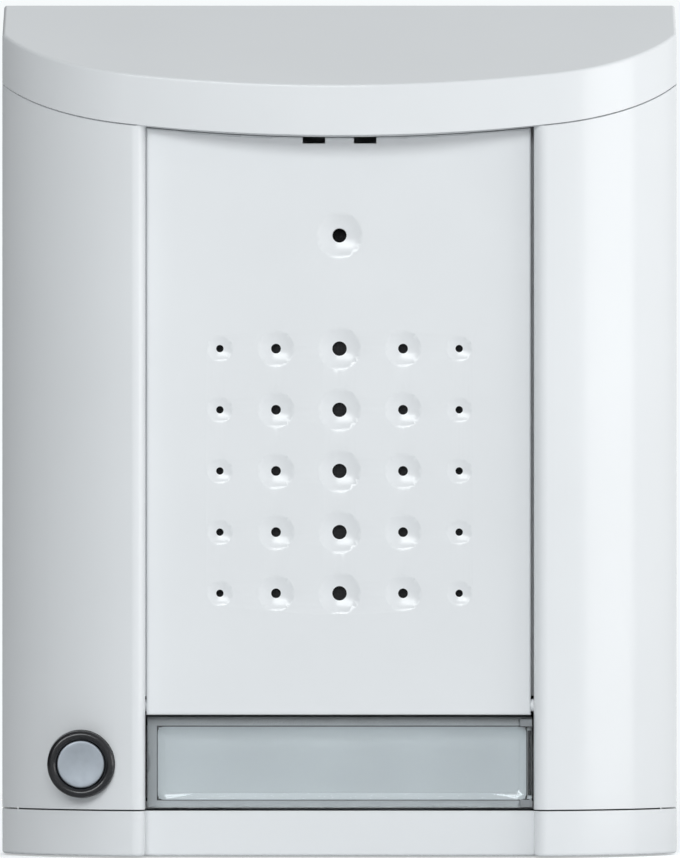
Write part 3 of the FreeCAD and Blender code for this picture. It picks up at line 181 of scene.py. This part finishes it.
def flecked(name, colour, fleck, roughness, fleck_mm, amount, grain_depth):
    """A surface with flecks of a second colour, such as ferrite, paper or filled plastic."""
    material, tree, shader = new_material(name)
    at = place(tree)
    cells = add(tree, "ShaderNodeTexVoronoi", feature="F1")
    cells.inputs["Scale"].default_value = 1.0 / (fleck_mm * MM)
    tree.links.new(at, cells.inputs["Vector"])
    mask = spread(tree, cells.outputs["Distance"], 1, 0, start=amount * 0.6, end=amount)
    tree.links.new(blend_colours(tree, mask, colour, fleck), shader.inputs["Base Color"])
    wear = noise(tree, at, fleck_mm * 3)
    tree.links.new(varied(tree, wear, roughness, 0.2), shader.inputs["Roughness"])
    bump(tree, shader, noise(tree, at, fleck_mm / 2), grain_depth)
    return material


def turned_metal(name, colour, roughness, centre, ring_mm, ring_depth):
    """Metal with concentric tool marks about a line along Y."""
    material, tree, shader = new_material(name)
    at = place(tree, offset=centre)
    rings = wave(tree, at, ring_mm, 0.6, wave_type="RINGS", rings_direction="Y")
    rings.inputs["Detail"].default_value = 2.0
    patchy = noise(tree, at, 1.2, detail=4.0)
    colours = blend_colours(tree, spread(tree, patchy, 0, 1), shade(colour, 0.93), shade(colour, 1.05))
    tree.links.new(colours, shader.inputs["Base Color"])
    tree.links.new(varied(tree, patchy, roughness, 0.15), shader.inputs["Roughness"])
    shader.inputs["Metallic"].default_value = 1.0
    bump(tree, shader, rings.outputs["Fac"], ring_depth)
    return material


def clear_material(name, tint, roughness):
    """Clear plastic with faint flow lines. Shadow rays pass, so that what lies behind it is lit."""
    material, tree, shader = new_material(name)
    at = place(tree, scale=(1, 1, 6))
    shader.inputs["Base Color"].default_value = (*tint, 1)
    shader.inputs["Roughness"].default_value = roughness
    shader.inputs["Transmission Weight"].default_value = 1.0
    shader.inputs["IOR"].default_value = 1.49
    bump(tree, shader, noise(tree, at, 0.9, detail=2.0), 0.0006)
    clear = add(tree, "ShaderNodeBsdfTransparent")
    clear.inputs["Color"].default_value = (*shade(tint, 0.97), 1)
    path = add(tree, "ShaderNodeLightPath")
    both = blend_shaders(tree, path.outputs["Is Shadow Ray"], shader.outputs["BSDF"], clear.outputs["BSDF"])
    tree.links.new(both, tree.nodes["Material Output"].inputs["Surface"])
    return material


def woven(name, low, high, thread_mm, depth_mm):
    """Cloth: two sets of threads that cross."""
    material, tree, shader = new_material(name)
    at = place(tree)
    heights = []
    for direction in ("X", "Z"):
        threads = wave(tree, at, thread_mm, 0.4, wave_type="BANDS", bands_direction=direction)
        heights.append(threads.outputs["Fac"])
    crossed = combined(tree, "MULTIPLY", *heights)
    tree.links.new(blend_colours(tree, crossed, low, high), shader.inputs["Base Color"])
    shader.inputs["Roughness"].default_value = 0.9
    bump(tree, shader, crossed, depth_mm)
    return material


# Materials by the record's slots

# After its colour, a moulded or metal surface has its roughness, the size and the depth of its grain,
# and then the size of its clouds and how far they change the shade. A turned one has its roughness,
# and the middle, the size and the depth of its rings. After its two colours, a flecked one has its
# roughness, the size and the share of its flecks and the depth of its grain, and a woven one the size
# and the depth of its threads. Sizes and depths are in millimetres.

BUTTON_AT = (-41.9 * MM, 0, -54.5 * MM)

materials = {
    # Housing, panel and name field
    "white_plastic": moulded("white_plastic", (0.80, 0.815, 0.83), 0.19, 0.55, 0.0012, 30.0, 0.012),
    "base_plastic": moulded("base_plastic", (0.56, 0.58, 0.60), 0.52, 0.16, 0.012),
    "seal_rubber": moulded("seal_rubber", (0.032, 0.032, 0.035), 0.62, 0.2, 0.01),
    "clear_plastic": clear_material("clear_plastic", (0.97, 0.985, 0.99), 0.03),
    "tray_plastic": moulded("tray_plastic", (0.275, 0.29, 0.302), 0.38, 0.2, 0.006),
    "label_film": moulded("label_film", (0.34, 0.365, 0.38), 0.35, 0.12, 0.002, 18.0, 0.05),

    # Screws, button and its spring
    "screw_steel": metal("screw_steel", (0.66, 0.65, 0.62), 0.28, 0.1, 0.004, 3.0, 0.08),
    "spring_steel": metal("spring_steel", (0.55, 0.55, 0.56), 0.25, 0.08, 0.003, 2.0, 0.06),
    "black_plastic": moulded("black_plastic", (0.012, 0.012, 0.014), 0.2, 0.5, 0.001, 6.0, 0.1),
    "button_metal": turned_metal("button_metal", (0.36, 0.392, 0.43), 0.5, BUTTON_AT, 0.18, 0.002),
    "stem_plastic": flecked("stem_plastic", (0.03, 0.03, 0.032), (0.09, 0.09, 0.09), 0.5, 0.3, 0.3, 0.004),

    # Boards and what stands on them
    "board_laminate": moulded("board_laminate", (0.025, 0.17, 0.075), 0.3, 0.35, 0.006, 5.0, 0.12),
    "led_laminate": moulded("led_laminate", (0.80, 0.81, 0.79), 0.35, 0.3, 0.005),
    "led_lens": moulded("led_lens", (0.86, 0.78, 0.42), 0.15, 0.3, 0.002),
    "terminal_plastic": moulded("terminal_plastic", (0.05, 0.30, 0.13), 0.4, 0.2, 0.006),
    "header_plastic": moulded("header_plastic", (0.80, 0.77, 0.66), 0.42, 0.2, 0.005),
    "relay_case": moulded("relay_case", (0.78, 0.78, 0.75), 0.25, 0.4, 0.003),
    "chip_plastic": flecked("chip_plastic", (0.022, 0.022, 0.025), (0.05, 0.05, 0.05),
                            0.55, 0.15, 0.35, 0.006),
    "plunger_plastic": moulded("plunger_plastic", (0.30, 0.03, 0.02), 0.4, 0.2, 0.004),
    "capacitor_can": moulded("capacitor_can", (0.02, 0.035, 0.10), 0.22, 0.5, 0.004, 3.0, 0.1),
    "trimmer_plastic": moulded("trimmer_plastic", (0.02, 0.09, 0.42), 0.3, 0.3, 0.004),

    # Speaker and microphone
    "speaker_steel": metal("speaker_steel", (0.62, 0.62, 0.58), 0.3, 0.15, 0.006, 4.0, 0.08),
    "magnet_ferrite": flecked("magnet_ferrite", (0.06, 0.06, 0.065), (0.14, 0.13, 0.12),
                              0.6, 0.5, 0.25, 0.012),
    "cone_paper": flecked("cone_paper", (0.02, 0.02, 0.021), (0.05, 0.05, 0.048), 0.85, 0.5, 0.3, 0.02),
    "membrane_cloth": woven("membrane_cloth", (0.008, 0.008, 0.009), (0.035, 0.035, 0.037), 0.22, 0.04),
    "gasket_foam": flecked("gasket_foam", (0.05, 0.05, 0.053), (0.02, 0.02, 0.02), 0.85, 0.35, 0.4, 0.04),
    "capsule_metal": metal("capsule_metal", (0.70, 0.70, 0.70), 0.3, 0.1, 0.003, 3.0, 0.06),
}

slot_of = {part["node"]: part["material_slot"] for part in frame["record"]["subparts"]}
for node, piece in nodes.items():
    piece.data.materials.clear()
    piece.data.materials.append(materials[slot_of[node]])


# Smooth faces and rounded edges

NODE_SMOOTH_ANGLE = 30
PIECE_SMOOTH_ANGLE = 35
PIECE_ROUND_ANGLE = 40
WINDOW_ROUND_ANGLE = 42
WINDOW_ROUND = 0.12


def smooth(piece, angle_degrees):
    """Rounded faces are shaded smooth, and edges sharper than the angle stay sharp."""
    piece.data.shade_smooth()
    weld = piece.modifiers.new("weld", "WELD")
    weld.merge_threshold = 0.000002
    split = piece.modifiers.new("split", "EDGE_SPLIT")
    split.split_angle = math.radians(angle_degrees)
    split.use_edge_sharp = False
    normals = piece.modifiers.new("normals", "WEIGHTED_NORMAL")
    normals.keep_sharp = True
    normals.weight = 100


def round_edges(piece, width_mm, angle_degrees):
    """A small round along the sharp edges, which catches the light."""
    bevel = piece.modifiers.new("edge_round", "BEVEL")
    bevel.width = width_mm * MM
    bevel.segments = 2
    bevel.limit_method = "ANGLE"
    bevel.angle_limit = math.radians(angle_degrees)


round_edges(nodes["name_window"], WINDOW_ROUND, WINDOW_ROUND_ANGLE)
for piece in nodes.values():
    smooth(piece, NODE_SMOOTH_ANGLE)


# Outlines and plates of the pieces that follow

# Sizes are in millimetres, and a depth is a distance out from the wall, as it is for the solids.
# An outline is a list of points across and up, seen from the front.


def rectangle(x, z, width, height):
    return [(x - width / 2, z - height / 2), (x + width / 2, z - height / 2),
            (x + width / 2, z + height / 2), (x - width / 2, z + height / 2)]


def circle(x, z, radius, count=20, start=0.0, sweep=2 * math.pi):
    step = sweep / count
    return [(x + radius * math.cos(start + index * step), z + radius * math.sin(start + index * step))
            for index in range(count)]


def ribbon(points, width):
    """The outline of a track of even width along the points."""
    left, right = [], []
    for index, (x, z) in enumerate(points):
        before = points[max(index - 1, 0)]
        after = points[min(index + 1, len(points) - 1)]
        directions = [Vector((x - before[0], z - before[1])), Vector((after[0] - x, after[1] - z))]
        directions = [direction.normalized() for direction in directions if direction.length > 0]
        along = sum(directions, Vector((0, 0))).normalized()
        reach_out = width / 2 / max(along.dot(directions[0]), 0.5)
        left.append((x - along.y * reach_out, z + along.x * reach_out))
        right.append((x + along.y * reach_out, z - along.x * reach_out))
    return left + right[::-1]


def prism(mesh, outer, back, front, inner=None):
    """A closed plate with the outline outer, and a hole with as many points where inner is given."""
    loops = [outer] if inner is None else [outer, inner]
    rings = []
    for loop in loops:
        rings.append([[mesh.verts.new((x * MM, -depth * MM, z * MM)) for x, z in loop]
                      for depth in (back, front)])
    count = len(outer)
    for low, high in rings:
        for index in range(count):
            after = (index + 1) % count
            mesh.faces.new((low[index], low[after], high[after], high[index]))
    for level in (0, 1):
        if inner is None:
            mesh.faces.new(rings[0][level])
            continue
        for index in range(count):
            after = (index + 1) % count
            mesh.faces.new((rings[0][level][index], rings[0][level][after],
                            rings[1][level][after], rings[1][level][index]))


def finish_piece(mesh, name, material, body, bevel_mm=0.0):
    bmesh.ops.recalc_face_normals(mesh, faces=mesh.faces)
    data = bpy.data.meshes.new(name)
    mesh.to_mesh(data)
    mesh.free()
    piece = bpy.data.objects.new(name, data)
    scene.collection.objects.link(piece)
    data.materials.append(material)
    if bevel_mm:
        round_edges(piece, bevel_mm, PIECE_ROUND_ANGLE)
    smooth(piece, PIECE_SMOOTH_ANGLE)
    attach(piece, body)


# Materials of the small parts

gold_pad = metal("gold_pad", (0.78, 0.56, 0.22), 0.3, 0.1, 0.003, 3.0, 0.08)
tinned = metal("tinned", (0.66, 0.67, 0.68), 0.3, 0.1, 0.006, 2.0, 0.08)
trace_mask = moulded("trace_mask", (0.045, 0.26, 0.11), 0.28, 0.3, 0.004, 5.0, 0.1)
marking_ink = moulded("marking_ink", (0.74, 0.75, 0.72), 0.5, 0.12, 0.004, 4.0, 0.05)
resistor_glaze = flecked("resistor_glaze", (0.02, 0.02, 0.022), (0.06, 0.06, 0.065), 0.3, 0.12, 0.3, 0.004)
brown_ceramic = flecked("brown_ceramic", (0.30, 0.19, 0.10), (0.40, 0.28, 0.17), 0.45, 0.1, 0.35, 0.005)
vent_aluminium = turned_metal("vent_aluminium", (0.72, 0.72, 0.73), 0.3, (0, 0, 0), 0.2, 0.003)
# Black felt behind the microphone, also used for the dark sheets that paint shade in the name field
black_felt_and_painted_shade = flecked("black_felt_and_painted_shade", (0.006, 0.006, 0.007), (0.02, 0.02, 0.022), 0.95, 0.12, 0.4, 0.05)


# Small parts on the main board

# A pair of sizes is width and height
FILM = 0.035
BOARD_FRONT = 7.1
TRACK_FRONT = BOARD_FRONT + FILM
PAD_FRONT = TRACK_FRONT + FILM
STANDOFF = 0.05

CHIP_MIDDLES = (-20.0, -7.0, 6.0)
CHIP_FRONT = 8.8
LEGS_ON_A_SIDE = 4
LEG_PITCH = 2.4
LEG_END = 4.1
LEG_PAD = (0.9, 0.8)

LANE_COUNT = LEGS_ON_A_SIDE * len(CHIP_MIDDLES)
LANE_START = 10.0
LANE_STEP = 0.55
LANE_TOP = 12.8
TRACK_WIDTH = 0.26
TRACK_BEND = 0.6
TRACK_OVERLAP = 0.3

RESISTOR_X = 7.2
RESISTOR = (1.1, 0.9)
RESISTOR_HEIGHT = 0.5
RESISTOR_PAD = (2.4, 1.15)

SMALL_CAPACITORS = ((-17.9, -24.5), (-17.9, -21.0), (17.9, -22.5), (-18.3, -9.0), (-18.3, 4.0))
SMALL_CAPACITOR = (1.0, 1.25)
SMALL_CAPACITOR_HEIGHT = 0.95

CAPACITOR_AT = (23.2, 5.7)
CAPACITOR_FRONT = 14.6


def leg_places():
    """The side, the lane and the height of each leg of the chips."""
    for side in SIDES:
        for chip, middle in enumerate(CHIP_MIDDLES):
            for leg in range(LEGS_ON_A_SIDE):
                yield side, chip * LEGS_ON_A_SIDE + leg, middle + (leg - 1.5) * LEG_PITCH


def has_resistor(lane):
    return lane % 2 == 1


def resistor_places():
    return [(side * RESISTOR_X, z) for side, lane, z in leg_places() if has_resistor(lane)]


def make_tracks():
    """Tracks run out from the chips' legs and up to the terminals, each in a lane of its own."""
    mesh = bmesh.new()
    for side, lane, z in leg_places():
        lane_x = side * (LANE_START + LANE_STEP * (LANE_COUNT - 1 - lane))
        points = [(side * (LEG_END - TRACK_OVERLAP), z), (lane_x - side * TRACK_BEND, z),
                  (lane_x, z + TRACK_BEND), (lane_x, LANE_TOP)]
        prism(mesh, ribbon(points, TRACK_WIDTH), BOARD_FRONT, TRACK_FRONT)
    finish_piece(mesh, "board_tracks", trace_mask, "housing")


def make_pads():
    """Pads under the legs and the resistors, and holes with plated rims."""
    holes = ((-24, -20), (-21, -20), (-24, -22.5), (-21, -22.5), (8.5, -27.5), (4.5, -28), (0, -28),
             (-4.5, -28), (-8.5, -27.5), (-25, 12.5), (25, 12.5), (-12.5, -28), (20.5, 13.5), (-20.5, 13.5))
    rim_radius = 0.55
    hole_radius = 0.28
    mesh = bmesh.new()
    for side, lane, z in leg_places():
        prism(mesh, rectangle(side * LEG_END, z, *LEG_PAD), BOARD_FRONT, PAD_FRONT)
        if has_resistor(lane):
            prism(mesh, rectangle(side * RESISTOR_X, z, *RESISTOR_PAD), BOARD_FRONT, PAD_FRONT)
    for x, z in holes:
        prism(mesh, circle(x, z, rim_radius), BOARD_FRONT, TRACK_FRONT, circle(x, z, hole_radius))
    finish_piece(mesh, "board_pads", gold_pad, "housing")


def make_outlines():
    """Printed lines at the chips' ends and round the larger parts, with no lettering."""
    chip_line = (6.0, 0.16)
    chip_line_from_middle = 5.5
    relay = (21.5, -9.0, 11.0, 21.0)
    trimmers = ((-23.3, -14.12, 7.2, 7.2), (-23.3, -3.88, 7.2, 7.2))
    plug_header = (14.0, -26.0, 11.0, 5.0)
    terminals = (0.0, 16.8, 36.2, 10.0)
    line_width = 0.16
    capacitor_outer = 4.15
    capacitor_inner = 3.98
    mesh = bmesh.new()
    for side in SIDES:
        for middle in CHIP_MIDDLES:
            prism(mesh, rectangle(0, middle + side * chip_line_from_middle, *chip_line),
                  BOARD_FRONT, TRACK_FRONT)
    for x, z, width, height in (relay, *trimmers, plug_header, terminals):
        prism(mesh, rectangle(x, z, width, height), BOARD_FRONT, TRACK_FRONT,
              rectangle(x, z, width - 2 * line_width, height - 2 * line_width))
    for side in SIDES:
        x, z = side * CAPACITOR_AT[0], CAPACITOR_AT[1]
        prism(mesh, circle(x, z, capacitor_outer, count=40), BOARD_FRONT, TRACK_FRONT,
              circle(x, z, capacitor_inner, count=40))
    finish_piece(mesh, "board_outlines", marking_ink, "housing")


def make_resistors():
    mesh = bmesh.new()
    for x, z in resistor_places():
        prism(mesh, rectangle(x, z, *RESISTOR), BOARD_FRONT + STANDOFF, BOARD_FRONT + RESISTOR_HEIGHT)
    finish_piece(mesh, "resistors", resistor_glaze, "housing", bevel_mm=0.05)


def make_small_capacitors():
    """Ceramic capacitors in the free field beside the lanes."""
    front = BOARD_FRONT + SMALL_CAPACITOR_HEIGHT
    mesh = bmesh.new()
    for x, z in SMALL_CAPACITORS:
        prism(mesh, rectangle(x, z, *SMALL_CAPACITOR), BOARD_FRONT + STANDOFF, front)
    finish_piece(mesh, "small_capacitors", brown_ceramic, "housing", bevel_mm=0.08)


def make_solder_ends():
    """Tinned ends, left and right of each resistor, and below and above each small capacitor."""
    proud = 0.02
    resistor_end = (0.36, RESISTOR[1] + 2 * proud)
    resistor_end_from_middle = 0.72
    capacitor_end = (SMALL_CAPACITOR[0] + 2 * proud, 0.42)
    capacitor_end_from_middle = 0.82
    mesh = bmesh.new()
    for x, z in resistor_places():
        for side in SIDES:
            prism(mesh, rectangle(x + side * resistor_end_from_middle, z, *resistor_end),
                  BOARD_FRONT, BOARD_FRONT + RESISTOR_HEIGHT + proud)
    for x, z in SMALL_CAPACITORS:
        for side in SIDES:
            prism(mesh, rectangle(x, z + side * capacitor_end_from_middle, *capacitor_end),
                  BOARD_FRONT, BOARD_FRONT + SMALL_CAPACITOR_HEIGHT + proud)
    finish_piece(mesh, "solder_ends", tinned, "housing", bevel_mm=0.1)


def make_chip_dots():
    """A dot in one corner of each chip."""
    dot_x = -2.1
    dot_above_middle = 4.0
    radius = 0.45
    sunk = 0.02
    proud = 0.03
    mesh = bmesh.new()
    for middle in CHIP_MIDDLES:
        prism(mesh, circle(dot_x, middle + dot_above_middle, radius), CHIP_FRONT - sunk, CHIP_FRONT + proud)
    finish_piece(mesh, "chip_dots", marking_ink, "housing")


def make_capacitor_vents():
    """The vented tops of the large capacitors: four sectors with a cross between them."""
    quarter_turn = math.pi / 2
    radius = 2.7
    from_middle = 0.12
    sunk = 0.1
    proud = 0.06
    arc_points = 8
    sweep = quarter_turn * arc_points / (arc_points - 1)
    mesh = bmesh.new()
    for side in SIDES:
        for quarter in range(4):
            turn = quarter * quarter_turn
            x = side * CAPACITOR_AT[0] + from_middle * math.cos(turn + quarter_turn / 2)
            z = CAPACITOR_AT[1] + from_middle * math.sin(turn + quarter_turn / 2)
            prism(mesh, [(x, z)] + circle(x, z, radius, arc_points, turn, sweep),
                  CAPACITOR_FRONT - sunk, CAPACITOR_FRONT + proud)
    finish_piece(mesh, "capacitor_vents", vent_aluminium, "housing")


def make_terminal_cages():
    """Wire cages of the seven terminals, seen in their entries."""
    pitch = 5.0
    z = 17.4
    width, height = 2.9, 3.8
    wall = 0.3
    back, front = 7.95, 11.05
    mesh = bmesh.new()
    for index in range(-3, 4):
        x = index * pitch
        for low in (back, front - wall):
            prism(mesh, rectangle(x, z, width, height), low, low + wall)
        for side in SIDES:
            prism(mesh, rectangle(x + side * (width - wall) / 2, z, wall, height), back + wall, front - wall)
    finish_piece(mesh, "terminal_cages", tinned, "housing")


make_tracks()
make_pads()
make_outlines()
make_resistors()
make_small_capacitors()
make_solder_ends()
make_chip_dots()
make_capacitor_vents()
make_terminal_cages()


# Painted shade of the name field: dark sheets in the gap round the strip and behind the window's hinge end

def in_mm(corners):
    return [[value / MM for value in corner] for corner in corners]


def make_painted_shade_seals():
    """Dark sheets that paint shade: one fills the gap round the strip, one covers that gap, and one is
    behind the window's hinge end.
    """
    clearance = 0.01
    gap_margin = 0.14
    gap_depth = 0.4
    cover_margin = 0.3
    from_strip = 0.36
    from_window_end = 0.1
    shorter_than_strip = 1.0
    hinge_end_thickness = 0.012

    strip_low, strip_high = in_mm(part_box("label_strip"))
    window_high = in_mm(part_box("name_window"))[1]
    middle_x = (strip_low[0] + strip_high[0]) / 2
    middle_z = (strip_low[2] + strip_high[2]) / 2
    width = strip_high[0] - strip_low[0]
    height = strip_high[2] - strip_low[2]
    front = -strip_low[1]

    def round_strip(margin):
        return rectangle(middle_x, middle_z, width + 2 * margin, height + 2 * margin)

    mesh = bmesh.new()
    # Painted shade: dark sheets in the gap round the strip, over the gap's edge and behind the window's
    # hinge end
    prism(mesh, round_strip(gap_margin), front - gap_depth, front, round_strip(clearance))
    prism(mesh, round_strip(cover_margin), front, front + FILM, round_strip(clearance))
    left, right = strip_high[0] + from_strip, window_high[0] - from_window_end
    prism(mesh, rectangle((left + right) / 2, middle_z, right - left, height - shorter_than_strip),
          front, front + hinge_end_thickness)
    finish_piece(mesh, "field_painted_shade", black_felt_and_painted_shade, "housing")


make_painted_shade_seals()


# Lip that closes the gaps round the front panel from behind

OPENING_HALF_WIDTH = 31.5
SOFFIT_Z = 50.4
ABOVE_HINGE_Z = -43.5
PANEL_LEFT = -31.3
PANEL_RIGHT = 31.0
PANEL_TOP_MIDDLE = 47.05
PANEL_ARCH_RADIUS = 304.0
PANEL_EDGE_ROUND = 0.4
TOP_CLEARANCE = 0.1
SIDE_CLEARANCE = 0.03


def above_panel(x):
    """The height of the lip's lower edge over the panel's arched top."""
    below_apex = PANEL_ARCH_RADIUS - math.sqrt(PANEL_ARCH_RADIUS ** 2 - x ** 2)
    return PANEL_TOP_MIDDLE + below_apex + TOP_CLEARANCE


def make_panel_gap_lip():
    """A plate hangs from the soffit and runs down the left wing. A strip runs down the right wing."""
    thickness = 0.2
    right_set_back = 3.6
    arch_steps = 32
    front = -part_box("front_panel")[0][1] / MM - PANEL_EDGE_ROUND
    right_front = front - right_set_back
    left = PANEL_LEFT - SIDE_CLEARANCE
    right = PANEL_RIGHT + SIDE_CLEARANCE
    right_top = above_panel(PANEL_RIGHT)
    step = (OPENING_HALF_WIDTH - left) / arch_steps
    across = [left + index * step for index in range(arch_steps + 1)]
    arch = [(x, above_panel(x)) for x in across]
    plate = [(-OPENING_HALF_WIDTH, ABOVE_HINGE_Z), (left, ABOVE_HINGE_Z)] + arch
    plate += [(OPENING_HALF_WIDTH, SOFFIT_Z), (-OPENING_HALF_WIDTH, SOFFIT_Z)]
    strip = [(right, ABOVE_HINGE_Z), (OPENING_HALF_WIDTH, ABOVE_HINGE_Z),
             (OPENING_HALF_WIDTH, right_top), (right, right_top)]
    mesh = bmesh.new()
    prism(mesh, plate, front - thickness, front)
    prism(mesh, strip, right_front - thickness, right_front)
    finish_piece(mesh, "panel_gap_lip", materials["white_plastic"], "housing")


make_panel_gap_lip()


# Button's coil, a copy of the spring's mesh that takes its place on the housing

coil = bpy.data.objects.new("spring_coil", nodes["button_spring"].data.copy())
scene.collection.objects.link(coil)
smooth(coil, NODE_SMOOTH_ANGLE)
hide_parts("button_spring")
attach(coil, "housing")
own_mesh(coil)


# Felt behind the microphone's hole

def make_microphone_felt():
    """Black felt keeps water out of the capsule."""
    z = 31.19
    radius = 1.12
    back, front = 24.0, 24.35
    mesh = bmesh.new()
    prism(mesh, circle(0, z, radius, count=32), back, front)
    finish_piece(mesh, "mic_felt", black_felt_and_painted_shade, "front_panel", bevel_mm=0.1)


make_microphone_felt()


# Floor

FLOOR_Z = -0.0697
FLOOR_REACH = 0.6
FADE_START = 0.13
FADE_END = 0.42
FLOOR_GLOW = 0.50
BRIGHT = (0.93, 0.96, 0.97, 1)


def floor_material():
    """Pale floor that takes shadows near the part and fades into the background further out."""
    material, tree, shader = new_material("pale_floor")
    at = place(tree)
    cloud = noise(tree, at, 90.0)
    colours = blend_colours(tree, spread(tree, cloud, 0, 1), (0.78, 0.79, 0.80), (0.82, 0.83, 0.84))
    tree.links.new(colours, shader.inputs["Base Color"])
    shader.inputs["Roughness"].default_value = 0.7
    bump(tree, shader, noise(tree, at, 1.5, detail=4.0), 0.01)

    # The floor glows for the camera alone
    path = add(tree, "ShaderNodeLightPath")
    strength = add(tree, "ShaderNodeMath", operation="MULTIPLY")
    strength.inputs[1].default_value = FLOOR_GLOW
    tree.links.new(path.outputs["Is Camera Ray"], strength.inputs[0])
    glow = add(tree, "ShaderNodeEmission")
    glow.inputs["Color"].default_value = BRIGHT
    tree.links.new(strength.outputs["Value"], glow.inputs["Strength"])
    lit = add(tree, "ShaderNodeAddShader")
    tree.links.new(shader.outputs["BSDF"], lit.inputs[0])
    tree.links.new(glow.outputs["Emission"], lit.inputs[1])

    # It is clear far from the part, and from below
    distance = add(tree, "ShaderNodeVectorMath", operation="LENGTH")
    tree.links.new(at, distance.inputs[0])
    fade = spread(tree, distance.outputs["Value"], 0, 1, start=FADE_START, end=FADE_END)
    underside = add(tree, "ShaderNodeNewGeometry").outputs["Backfacing"]
    hidden = combined(tree, "MAXIMUM", fade, underside)
    clear = add(tree, "ShaderNodeBsdfTransparent")
    both = blend_shaders(tree, hidden, lit.outputs["Shader"], clear.outputs["BSDF"])
    tree.links.new(both, tree.nodes["Material Output"].inputs["Surface"])
    return material


def make_floor():
    mesh = bpy.data.meshes.new("floor")
    corners = [(x, z, FLOOR_Z) for x, z in rectangle(0, 0, 2 * FLOOR_REACH, 2 * FLOOR_REACH)]
    mesh.from_pydata(corners, [], [(0, 1, 2, 3)])
    mesh.update()
    mesh.materials.append(floor_material())
    floor = bpy.data.objects.new("floor", mesh)
    scene.collection.objects.link(floor)


make_floor()


# Lights

COOL = (0.96, 0.99, 1.0)
WARM = (1.0, 0.985, 0.97)


def around(azimuth, elevation, distance):
    """A point as seen from the part: azimuth 0 is straight in front and 90 to the right."""
    turn = math.radians(azimuth)
    rise = math.radians(elevation)
    level = distance * math.cos(rise)
    return (level * math.sin(turn), -level * math.cos(turn), distance * math.sin(rise))


def soft_light(name, at, width, height, power, colour):
    """A rectangular lamp that faces the part's origin."""
    lamp = bpy.data.lights.new(name, "AREA")
    lamp.shape = "RECTANGLE"
    lamp.size = width
    lamp.size_y = height
    lamp.energy = power
    lamp.color = colour
    piece = bpy.data.objects.new(name, lamp)
    scene.collection.objects.link(piece)
    piece.location = at
    piece.rotation_euler = (-Vector(at)).to_track_quat("-Z", "Y").to_euler()


soft_light("front_light", around(-13, 20, 1.5), width=1.0, height=0.4, power=9.2, colour=COOL)
soft_light("right_light", around(69, 3, 1.0), width=0.60, height=0.36, power=1.5, colour=WARM)
soft_light("side_light", around(104, 8, 1.0), width=0.50, height=0.50, power=0.4, colour=WARM)


# Room and background

def make_world():
    """A room for the light, and a bright background for the camera, also through the window."""
    world = bpy.data.worlds.new("studio")
    scene.world = world
    world.use_nodes = True
    tree = world.node_tree
    room = tree.nodes["Background"]
    room.inputs["Color"].default_value = (0.94, 0.965, 0.98, 1)
    bright = add(tree, "ShaderNodeBackground")
    bright.inputs["Color"].default_value = BRIGHT
    bright.inputs["Strength"].default_value = 1.0

    # X is to the right, Y away from the camera and Z up
    direction = add(tree, "ShaderNodeSeparateXYZ")
    tree.links.new(add(tree, "ShaderNodeTexCoord").outputs["Generated"], direction.inputs["Vector"])
    across, away, up = (direction.outputs[axis] for axis in "XYZ")
    path = add(tree, "ShaderNodeLightPath")
    gloss = path.outputs["Is Glossy Ray"]

    # The room is darker to the left and above, and dark on its far left
    light = combined(tree, "ADD", spread(tree, across, 0.33, 1.01, start=-1, end=1),
                     spread(tree, up, 0, -0.27, start=0, end=1))
    far_left = spread(tree, across, 0.10, 1, start=-0.95, end=-0.50)

    # Gloss shows a dark corner of the room behind the part on the left
    corner = combined(tree, "MULTIPLY", spread(tree, across, 1, 0, start=-0.30, end=0),
                      spread(tree, away, 0, 1, start=0.20, end=0.70))
    dimming = spread(tree, combined(tree, "MULTIPLY", gloss, corner), 1, 0.20, start=0, end=1)
    strength = combined(tree, "MULTIPLY", combined(tree, "MULTIPLY", light, dimming), far_left)
    tree.links.new(strength, room.inputs["Strength"])

    # Gloss shows the bright background behind the part on the right
    backdrop = combined(tree, "MULTIPLY", spread(tree, across, 0, 1, start=-0.10, end=0.06),
                        spread(tree, away, 0, 1, start=-0.20, end=0.50))
    mirrored = combined(tree, "MULTIPLY", gloss, backdrop)
    direct = combined(tree, "MAXIMUM", path.outputs["Is Camera Ray"], path.outputs["Is Transmission Ray"])
    seen = combined(tree, "MAXIMUM", direct, mirrored)
    both = blend_shaders(tree, seen, room.outputs["Background"], bright.outputs["Background"])
    tree.links.new(both, tree.nodes["World Output"].inputs["Surface"])


make_world()
scene.view_settings.view_transform = "Standard"


# Camera, at the photograph's viewpoint

camera_data = bpy.data.cameras.new("camera")
camera_data.lens = 588.2
camera_data.clip_start = 0.1
camera_data.clip_end = 20
camera = bpy.data.objects.new("camera", camera_data)
scene.collection.objects.link(camera)
camera.location = (0.00008, -2.3, -0.0002)
camera.rotation_euler = (math.radians(90), 0, 0)
scene.camera = camera
